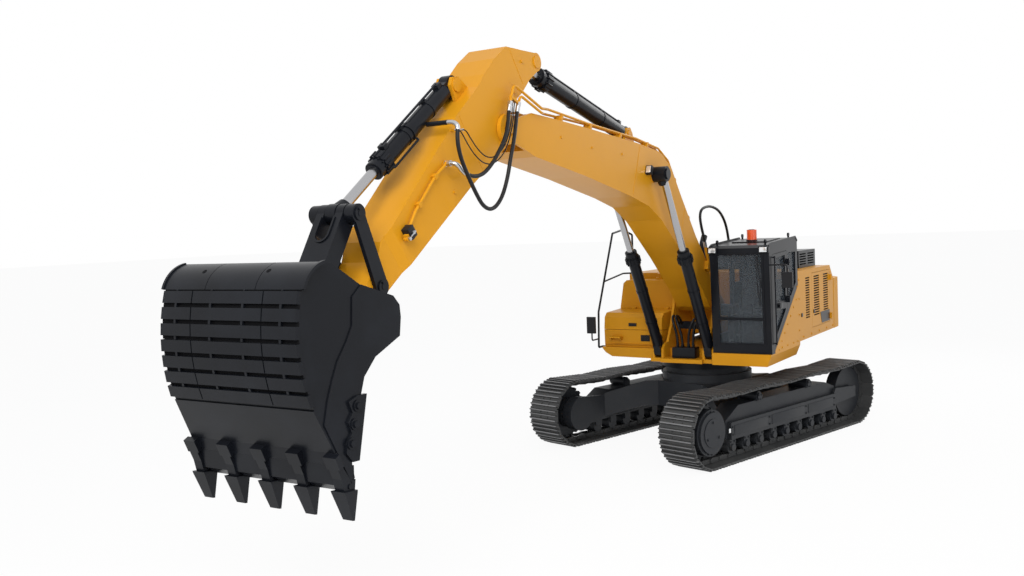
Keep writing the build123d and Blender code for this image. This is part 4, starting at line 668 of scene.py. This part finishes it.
# Hatch and rain gutters of the roof
hatch = [(0.62, 3.137), (0.62, 3.152), (-0.02, 3.184), (-0.02, 3.168)]
cab_bits.plate(hatch, CAB_RIGHT + 0.16, CAB_LEFT - 0.20)
gutter = [(1.150, 3.085), (1.160, 3.105), (1.065, 3.140), (-0.155, 3.205), (-0.245, 3.140), (-0.240, 3.115),
          (-0.150, 3.180), (1.060, 3.112)]
for y in (CAB_LEFT - 0.012, CAB_RIGHT - 0.006):
    cab_bits.plate(gutter, y, y + 0.018)
for z in (1.60, 2.20, 2.85):
    cab_bits.bolt((front_x(z), CAB_RIGHT + 0.045, z), (1, 0, 0), 0.010, 0.010)
# Grab bar beside the door, and the door's handle
cab_bits.drum((0.965, CAB_LEFT + 0.030, 1.620), (0.990, CAB_LEFT + 0.030, 2.940), 0.011, sides=12)
for x, z in ((0.966, 1.640), (0.989, 2.920)):
    cab_bits.drum((x, CAB_LEFT - 0.004, z), (x, CAB_LEFT + 0.032, z), 0.010, sides=10)
cab_bits.box((0.628, CAB_LEFT + 0.018, 2.140), (0.772, CAB_LEFT + 0.030, 2.220), bevel=0.005)
cab_bits.done("cab_trim", "house", "charcoal_paint")

wiper = Shape(HOUSE)
# Wiper's arm in two runs and its blade: z and y of both ends, radius
for (z_low, y_low), (z_high, y_high), size in (((2.220, 1.310), (2.560, 1.335), 0.008),
                                               ((2.560, 1.335), (2.930, 1.285), 0.008),
                                               ((2.330, 1.300), (2.900, 1.262), 0.005)):
    start, end = (front_x(z_low) + 0.026, y_low, z_low), (front_x(z_high) + 0.026, y_high, z_high)
    wiper.drum(start, end, size, sides=8)
wiper.drum((front_x(2.930) + 0.002, 1.285, 2.930), (front_x(2.930) + 0.034, 1.285, 2.930), 0.018, sides=12)
wiper.done("cab_wiper", "house", "mirror_black")

cab_lenses = Shape(HOUSE)
for y in CAB_LAMPS:
    cab_lenses.box((1.188, y - 0.055, 3.010), (1.196, y + 0.055, 3.080), bevel=0.003)
cab_lenses.done("cab_lamp_lenses", "house", "mirror_black", lamp_lens)
mirror_faces = Shape(HOUSE)
mirror_faces.box((1.090, CAB_LEFT + 0.190, 2.495), (1.0945, CAB_LEFT + 0.320, 2.695))
mirror_faces.box((1.0855, -HALF_WIDTH - 0.115, 1.755), (1.0895, -HALF_WIDTH + 0.005, 1.985))
mirror_faces.done("mirror_faces", "house", "rod_chrome", lamp_lens)

# Seen through the glass: joysticks, travel levers with their pedals, display and headrest
inside = Shape(HOUSE)
middle_y = (CAB_LEFT + CAB_RIGHT) / 2
for y in (middle_y - 0.315, middle_y + 0.315):
    inside.drum((0.640, y, 2.180), (0.650, y, 2.330), 0.014, sides=12)
    inside.drum((0.650, y, 2.320), (0.655, y, 2.410), 0.026, sides=14, end_radius=0.020)
for y in (middle_y - 0.10, middle_y + 0.10):
    inside.drum((0.930, y, 1.552), (0.905, y, 2.160), 0.011, sides=10)
    inside.drum((0.905, y, 2.160), (0.903, y, 2.230), 0.021, sides=12)
    inside.box((0.880, y - 0.055, 1.556), (1.010, y + 0.055, 1.590), Matrix.Rotation(-0.5, 4, "Y"),
               bevel=0.006)
inside.box((0.985, middle_y - 0.36, 2.050), (1.010, middle_y - 0.16, 2.230), Matrix.Rotation(0.25, 4, "Y"),
           bevel=0.008)
inside.box((0.150, middle_y - 0.15, 2.740), (0.215, middle_y + 0.15, 2.930), Matrix.Rotation(-0.12, 4, "Y"),
           bevel=0.030)
inside.done("cab_controls", "house", "mirror_black")

# Yellow panels: bolts, the tool box's seam, the step and the fuel filler's cap
panel_bits = Shape(HOUSE)
sloped_row = [(-0.190, 2.450), (-0.130, 2.250), (0.020, 2.140), (0.170, 2.020), (0.330, 1.905),
              (0.480, 1.790), (0.630, 1.680), (0.780, 1.570)]
spots = [(x, z - 0.045) for x, z in sloped_row]
spots += [(x, 1.540) for x in (-0.18, 0.05, 0.35, 0.62)]
spots += [(-0.280, z) for z in (1.70, 1.95, 2.20, 2.50)]
panel_bits.bolts([(x, LEFT_FACE, z) for x, z in spots], (0, 1, 0), 0.010, 0.010)
for side in (1, -1):
    panel_bits.bolts([(x, side * LEFT_FACE, 1.573) for x in (-0.50, -0.95, -1.40, -1.85, -2.25)],
                     (0, side, 0), 0.013, 0.012)
panel_bits.box((0.300, BOX_RIGHT + 0.02, 1.534), (0.815, -0.560, 1.540))
panel_bits.box((0.786, -1.32, 1.640), (0.905, -1.12, 1.665), bevel=0.006)
for y in (-1.31, -1.14):
    panel_bits.box((0.786, y - 0.006, 1.600), (0.860, y + 0.006, 1.645))
panel_bits.drum((-0.060, -0.800, 2.618), (-0.060, -0.800, 2.640), 0.062, sides=8)
panel_bits.done("panel_fittings", "house", "yellow_paint")

dark_bits = Shape(HOUSE)
dark_bits.box((0.700, BOX_RIGHT + 0.40, 1.998), (0.703, BOX_RIGHT + 0.60, 2.000))
dark_bits.box((0.786, -1.010, 1.830), (0.797, -0.870, 1.882), bevel=0.004)
dark_bits.box((0.786, -0.800, 1.590), (0.796, -0.640, 1.690), bevel=0.004)
GRILLE_PITCH = 0.017
for step in range(5):
    z = 1.603 + step * GRILLE_PITCH
    dark_bits.box((0.796, -0.790, z), (0.800, -0.650, z + 0.009))
dark_bits.box((-0.455, LEFT_FACE, 1.900), (-0.385, LEFT_FACE + 0.010, 1.960), bevel=0.004)
dark_bits.done("latches_and_plates", "house", "black_paint")
door_bits = Shape(HOUSE)
plate = [(-2.045, 1.690), (-2.045, 1.880), (-1.480, 1.880), (-1.560, 1.690)]
door_bits.plate(plate, LEFT_FACE, LEFT_FACE + 0.004)
door_bits.box((-1.135, LEFT_FACE, 1.900), (-1.065, LEFT_FACE + 0.010, 1.960), bevel=0.004)
door_bits.done("engine_door_left_plate_and_latch", "engine_door_left", "black_paint")

# Pipes and valve block between the boom's feet
centre_block = Shape(HOUSE)
centre_block.box((0.760, -0.190, 1.362), (0.960, 0.190, 1.530), bevel=0.010)
for y in (-0.13, -0.05, 0.05, 0.13):
    centre_block.drum((0.860, y, 1.525), (0.860, y, 1.575), 0.026, sides=6)
centre_block.box((0.480, -0.240, 1.780), (0.560, 0.240, 1.900), bevel=0.010)
centre_block.done("swivel_block", "house", "charcoal_paint")
for index, (y, out_y) in enumerate(((-0.13, -0.235), (-0.05, -0.180), (0.05, 0.180), (0.13, 0.235))):
    points = [(0.860, y, 1.560), (0.862, y, 1.700), (0.885, (y + out_y) / 2, 1.900), (0.800, out_y, 2.020),
              (0.640, out_y, 1.985), (0.555, out_y, 1.860)]
    wire(f"foot_pipe_{index + 1}", points, 0.020, "house", "black_paint", HOUSE)

# Bucket: rolled cover over its crown with end rims and painted shade for two openings in it, then painted
# shade between the strips, and spacers
KNEE, BACK_MIDDLE, CROWN = Vector((1.109, -0.500)), Vector((1.202, -0.022)), Vector((1.146, 0.408))
CROWN_MIDDLE, CORNER = Vector((1.056, 0.535)), Vector((0.909, 0.600))


def arc_points(start, middle, end, count):
    """Points on the circle's arc through three points, and the circle's centre."""
    a, b = middle - start, end - start
    scale = 2 * (a.x * b.y - a.y * b.x)
    centre = start + Vector((b.y * a.dot(a) - a.y * b.dot(b), a.x * b.dot(b) - b.x * a.dot(a))) / scale
    first, last = start - centre, end - centre
    turn = first.angle_signed(last)
    return [centre + Matrix.Rotation(-turn * n / (count - 1), 2) @ first for n in range(count)], centre


COVER_STEPS = 14
crown_line, crown_centre = arc_points(CROWN, CROWN_MIDDLE, CORNER, COVER_STEPS)
crown_cover = Shape(BUCKET)


def crown_band(y_low, y_high, thick):
    """Band over the crown's arc, from one y to another."""
    outer = [point + (point - crown_centre).normalized() * thick for point in crown_line]
    sunk = [point - (point - crown_centre).normalized() * 0.004 for point in reversed(crown_line)]
    crown_cover.plate([tuple(point) for point in outer + sunk], y_low, y_high)


COVER_HALF, COVER_SPLIT = 0.800, 0.290
for y_low, y_high in ((-COVER_HALF, -COVER_SPLIT), (-COVER_SPLIT + 0.006, COVER_SPLIT - 0.006),
                      (COVER_SPLIT, COVER_HALF)):
    crown_band(y_low, y_high, 0.010)
for y in (-COVER_HALF, COVER_HALF):
    crown_band(y - 0.012, y + 0.012, 0.022)
crown_cover.done("bucket_crown_cover", "bucket", "charcoal_paint")
# Black discs on the cover: painted shade that stands for the dark inside the two openings
hole_shade = Shape(BUCKET)
hole_at = crown_line[COVER_STEPS // 2]
hole_out = (hole_at - crown_centre).normalized()
for y in (-0.400, 0.340):
    start, end = hole_at + hole_out * 0.004, hole_at + hole_out * 0.0108
    hole_shade.drum((start.x, y, start.y), (end.x, y, end.y), 0.022, sides=16)
hole_shade.done("bucket_crown_hole_shade", "bucket", "mirror_black", painted_shade_black)

STRIP_ROWS, STRIP_PITCH, STRIP_WIDTH, STRIP_START = 7, 0.143, 0.108, 0.020
BACK_STEPS = 100
back_line, back_centre = arc_points(KNEE, BACK_MIDDLE, CROWN, BACK_STEPS + 1)


def back_at(share):
    """Point on the back's arc at a share of its length."""
    return back_line[round(share * BACK_STEPS)]


spacers, gap_shade = Shape(BUCKET), Shape(BUCKET)
for row in range(STRIP_ROWS):
    low = back_at(STRIP_START + row * STRIP_PITCH + STRIP_WIDTH)
    high = back_at(min(STRIP_START + (row + 1) * STRIP_PITCH, 1.0))
    out = ((low + high) / 2 - back_centre).normalized()
    floor_low, floor_high = low + out * 0.002, high + out * 0.002
    # Flat black sheet just over the back between two rows of strips: painted shade in that recess
    gap = [tuple(low), tuple(high), tuple(floor_high), tuple(floor_low)]
    gap_shade.plate(gap, -0.780, 0.780)
    block = [tuple(low), tuple(high), tuple(high + out * 0.026), tuple(low + out * 0.026)]
    for y in (-0.600, -0.185, 0.185, 0.600):
        spacers.plate(block, y - 0.012, y + 0.012)
spacers.done("bucket_strip_spacers", "bucket", "charcoal_paint")
gap_shade.done("bucket_strip_gap_shade", "bucket", "charcoal_paint", painted_shade_black)

# Cover along the bucket's lip
lip_cover = Shape(BUCKET)
lip_cover.plate([(0.9365, -0.876), (0.9065, -0.984), (0.884, -0.984), (0.915, -0.876)], -0.835, 0.835)
lip_cover.done("bucket_lip_cover", "bucket", "charcoal_paint")

# Linkage: raised border round the H link's cut, dark sleeves over the rods' eyes and head pins
border = Shape(H_LINK)
CUT_START, CUT_END, BORDER_OUTER, BORDER_INNER, BORDER_STEPS = 0.080, 0.250, 0.090, 0.070, 12
half_turn = [-math.pi / 2 + math.pi * n / BORDER_STEPS for n in range(BORDER_STEPS + 1)]
outer = [(CUT_END + BORDER_OUTER * math.cos(t), BORDER_OUTER * math.sin(t)) for t in half_turn]
inner = [(CUT_END + BORDER_INNER * math.cos(t), -BORDER_INNER * math.sin(t)) for t in half_turn]
ring = [(CUT_START, -BORDER_OUTER), *outer, (CUT_START, BORDER_OUTER), (CUT_START, BORDER_INNER), *inner,
        (CUT_START, -BORDER_INNER)]
for side in (1, -1):
    border.plate(ring, side * 0.085, side * 0.097, axis="Z")
for side in (1, -1):
    border.drum((H_LINK_LENGTH, side * 0.214, 0), (H_LINK_LENGTH, side * 0.2205, 0), 0.080, sides=28)
border.done("h_link_border", "h_link", "charcoal_paint")
# Sleeve: name, frame, x and y of the eye, radius, half its width, body
sleeve_table = [
    ("bucket_rod_eye", BUCKET_RAM, BUCKET_RAM_LENGTH, 0.0, 0.0975, 0.0585, "bucket_ram_rod"),
    ("arm_rod_eye", ARM_RAM, ARM_RAM_LENGTH, 0.0, 0.1105, 0.0605, "arm_ram_rod"),
    ("boom_rod_eye_left", BOOM_RAM, BOOM_RAM_LENGTH, 0.394, 0.1075, 0.0975, "boom_ram_rods"),
    ("boom_rod_eye_right", BOOM_RAM, BOOM_RAM_LENGTH, -0.394, 0.1075, 0.0975, "boom_ram_rods"),
]
for name, at, x, y, radius, half, body in sleeve_table:
    sleeve = Shape(at)
    sleeve.drum((x, y - half, 0), (x, y + half, 0), radius, sides=32)
    sleeve.drum((x - radius - 0.045, y, 0), (x - radius + 0.030, y, 0), 0.066, sides=28, end_radius=0.080)
    if "boom" in name:
        out = 1 if y > 0 else -1
        sleeve.drum((x, y + out * 0.090, 0), (x, y + out * 0.1185, 0), 0.078, sides=28)
    sleeve.done(f"{name}_sleeve", body, "charcoal_paint")

# Painted shade in the louvres' slots, on the wall and on both doors: flat black blocks set deep in each slot
LOUVRE_LOW, LOUVRE_ROWS, LOUVRE_PITCH, LOUVRE_OPEN = 1.850, 17, 0.040, 0.024
SHADE_FROM, SHADE_TO, SHADE_OVER = 0.009, 0.041, 0.001
DOOR_LOUVRES = [(-1.450, -1.120), (-1.990, -1.690)]
# Name, body, y of the face, way in, x of the slots' ends
louvre_table = [
    ("wall", "house", LEFT_FACE, -1, [(-0.880, -0.650)]),
    ("door_left", "engine_door_left", LEFT_FACE, -1, DOOR_LOUVRES),
    ("door_right", "engine_door_right", -HALF_WIDTH + 0.010, 1, DOOR_LOUVRES),
]
for name, body, face_y, inwards, groups in louvre_table:
    slot_shade = Shape(HOUSE)
    near_y, far_y = sorted((face_y + inwards * SHADE_FROM, face_y + inwards * SHADE_TO))
    for x_low, x_high in groups:
        for row in range(LOUVRE_ROWS):
            z = LOUVRE_LOW + row * LOUVRE_PITCH
            slot_shade.box((x_low - SHADE_OVER, near_y, z - SHADE_OVER),
                        (x_high + SHADE_OVER, far_y, z + LOUVRE_OPEN + SHADE_OVER))
    slot_shade.done(f"louvre_slot_shade_{name}", body, "mirror_black", painted_shade_black)

# Beacon's base and cap
BEACON = (0.450, 0.974)
beacon = Shape(HOUSE)
beacon.drum((*BEACON, 3.146), (*BEACON, 3.176), 0.084, sides=32)
beacon.drum((*BEACON, 3.326), (*BEACON, 3.336), 0.060, sides=32, end_radius=0.040)
beacon.done("beacon_base", "house", "mirror_black")

# Black block of the arm's stop valve
valve = Shape(ARM)
valve.box((2.040, ARM_HALF, 0.125), (2.130, ARM_HALF + 0.089, 0.245), bevel=0.006)
valve.done("arm_valve_block", "arm", "mirror_black")


def white_to_rays(nodes, links, plain, share):
    """Shader that turns white, by a share, for camera, glossy and transmission rays."""
    path = nodes.new("ShaderNodeLightPath")
    camera_or_gloss = nodes.new("ShaderNodeMath")
    camera_or_gloss.operation = "MAXIMUM"
    any_ray = nodes.new("ShaderNodeMath")
    any_ray.operation = "MAXIMUM"
    part = nodes.new("ShaderNodeMath")
    part.operation = "MULTIPLY"
    part.inputs[1].default_value = share
    choose = nodes.new("ShaderNodeMixShader")
    links.new(path.outputs["Is Camera Ray"], camera_or_gloss.inputs[0])
    links.new(path.outputs["Is Glossy Ray"], camera_or_gloss.inputs[1])
    links.new(camera_or_gloss.outputs[0], any_ray.inputs[0])
    links.new(path.outputs["Is Transmission Ray"], any_ray.inputs[1])
    links.new(any_ray.outputs[0], part.inputs[0])
    links.new(part.outputs[0], choose.inputs[0])
    links.new(plain.outputs[0], choose.inputs[1])
    return choose


# Floor: nearly white to the camera, with the machine's soft shadow on it
FLOOR_HALF, FLOOR_WHITE = 150, 0.93
floor_data = bpy.data.meshes.new("floor")
corners = [(x * FLOOR_HALF, y * FLOOR_HALF, 0) for x, y in ((-1, -1), (1, -1), (1, 1), (-1, 1))]
floor_data.from_pydata(corners, [], [(0, 1, 2, 3)])
floor = bpy.data.objects.new("floor", floor_data)
scene.collection.objects.link(floor)
floor.location.z = -0.002
floor_paint = surface("floor", (0.93, 0.93, 0.93), 0.85, shine=0.1)
floor_data.materials.append(floor_paint)
nodes, links = floor_paint.node_tree.nodes, floor_paint.node_tree.links
white = nodes.new("ShaderNodeEmission")
white.inputs["Color"].default_value = (1, 1, 1, 1)
white.inputs["Strength"].default_value = 1.0
floor_seen = white_to_rays(nodes, links, nodes["Principled BSDF"], FLOOR_WHITE)
links.new(white.outputs[0], floor_seen.inputs[2])
links.new(floor_seen.outputs[0], nodes["Material Output"].inputs["Surface"])

# World: white behind the machine, a cool light on it
world = bpy.data.worlds.new("studio")
scene.world = world
world.use_nodes = True
nodes, links = world.node_tree.nodes, world.node_tree.links
nodes.clear()
seen_white = nodes.new("ShaderNodeBackground")
seen_white.inputs["Color"].default_value = (1, 1, 1, 1)
seen_white.inputs["Strength"].default_value = 1.0
ambient = nodes.new("ShaderNodeBackground")
ambient.inputs["Color"].default_value = (0.95, 0.97, 1.0, 1)
ambient.inputs["Strength"].default_value = 0.55
output = nodes.new("ShaderNodeOutputWorld")
sky = white_to_rays(nodes, links, ambient, 1.0)
links.new(seen_white.outputs[0], sky.inputs[2])
links.new(sky.outputs[0], output.inputs["Surface"])


def lamp(name, at, aim, size, power, colour=(1, 1, 1)):
    """Soft square light at a point, aimed at another."""
    data = bpy.data.lights.new(name, "AREA")
    data.size = size
    data.energy = power
    data.color = colour
    light = bpy.data.objects.new(name, data)
    scene.collection.objects.link(light)
    light.location = at
    light.rotation_euler = (Vector(aim) - Vector(at)).to_track_quat("-Z", "Y").to_euler()


lamp("key", (13, 5, 10), (-1, 0, 2), 8.0, 1500, (1.0, 0.985, 0.96))
lamp("fill", (3, 15, 6), (0, 0, 2), 9.0, 260, (0.95, 0.975, 1.0))
lamp("back", (-12, 3, 9), (0, 0, 2), 8.0, 400)

scene.view_settings.view_transform = "Standard"
scene.view_settings.look = "None"
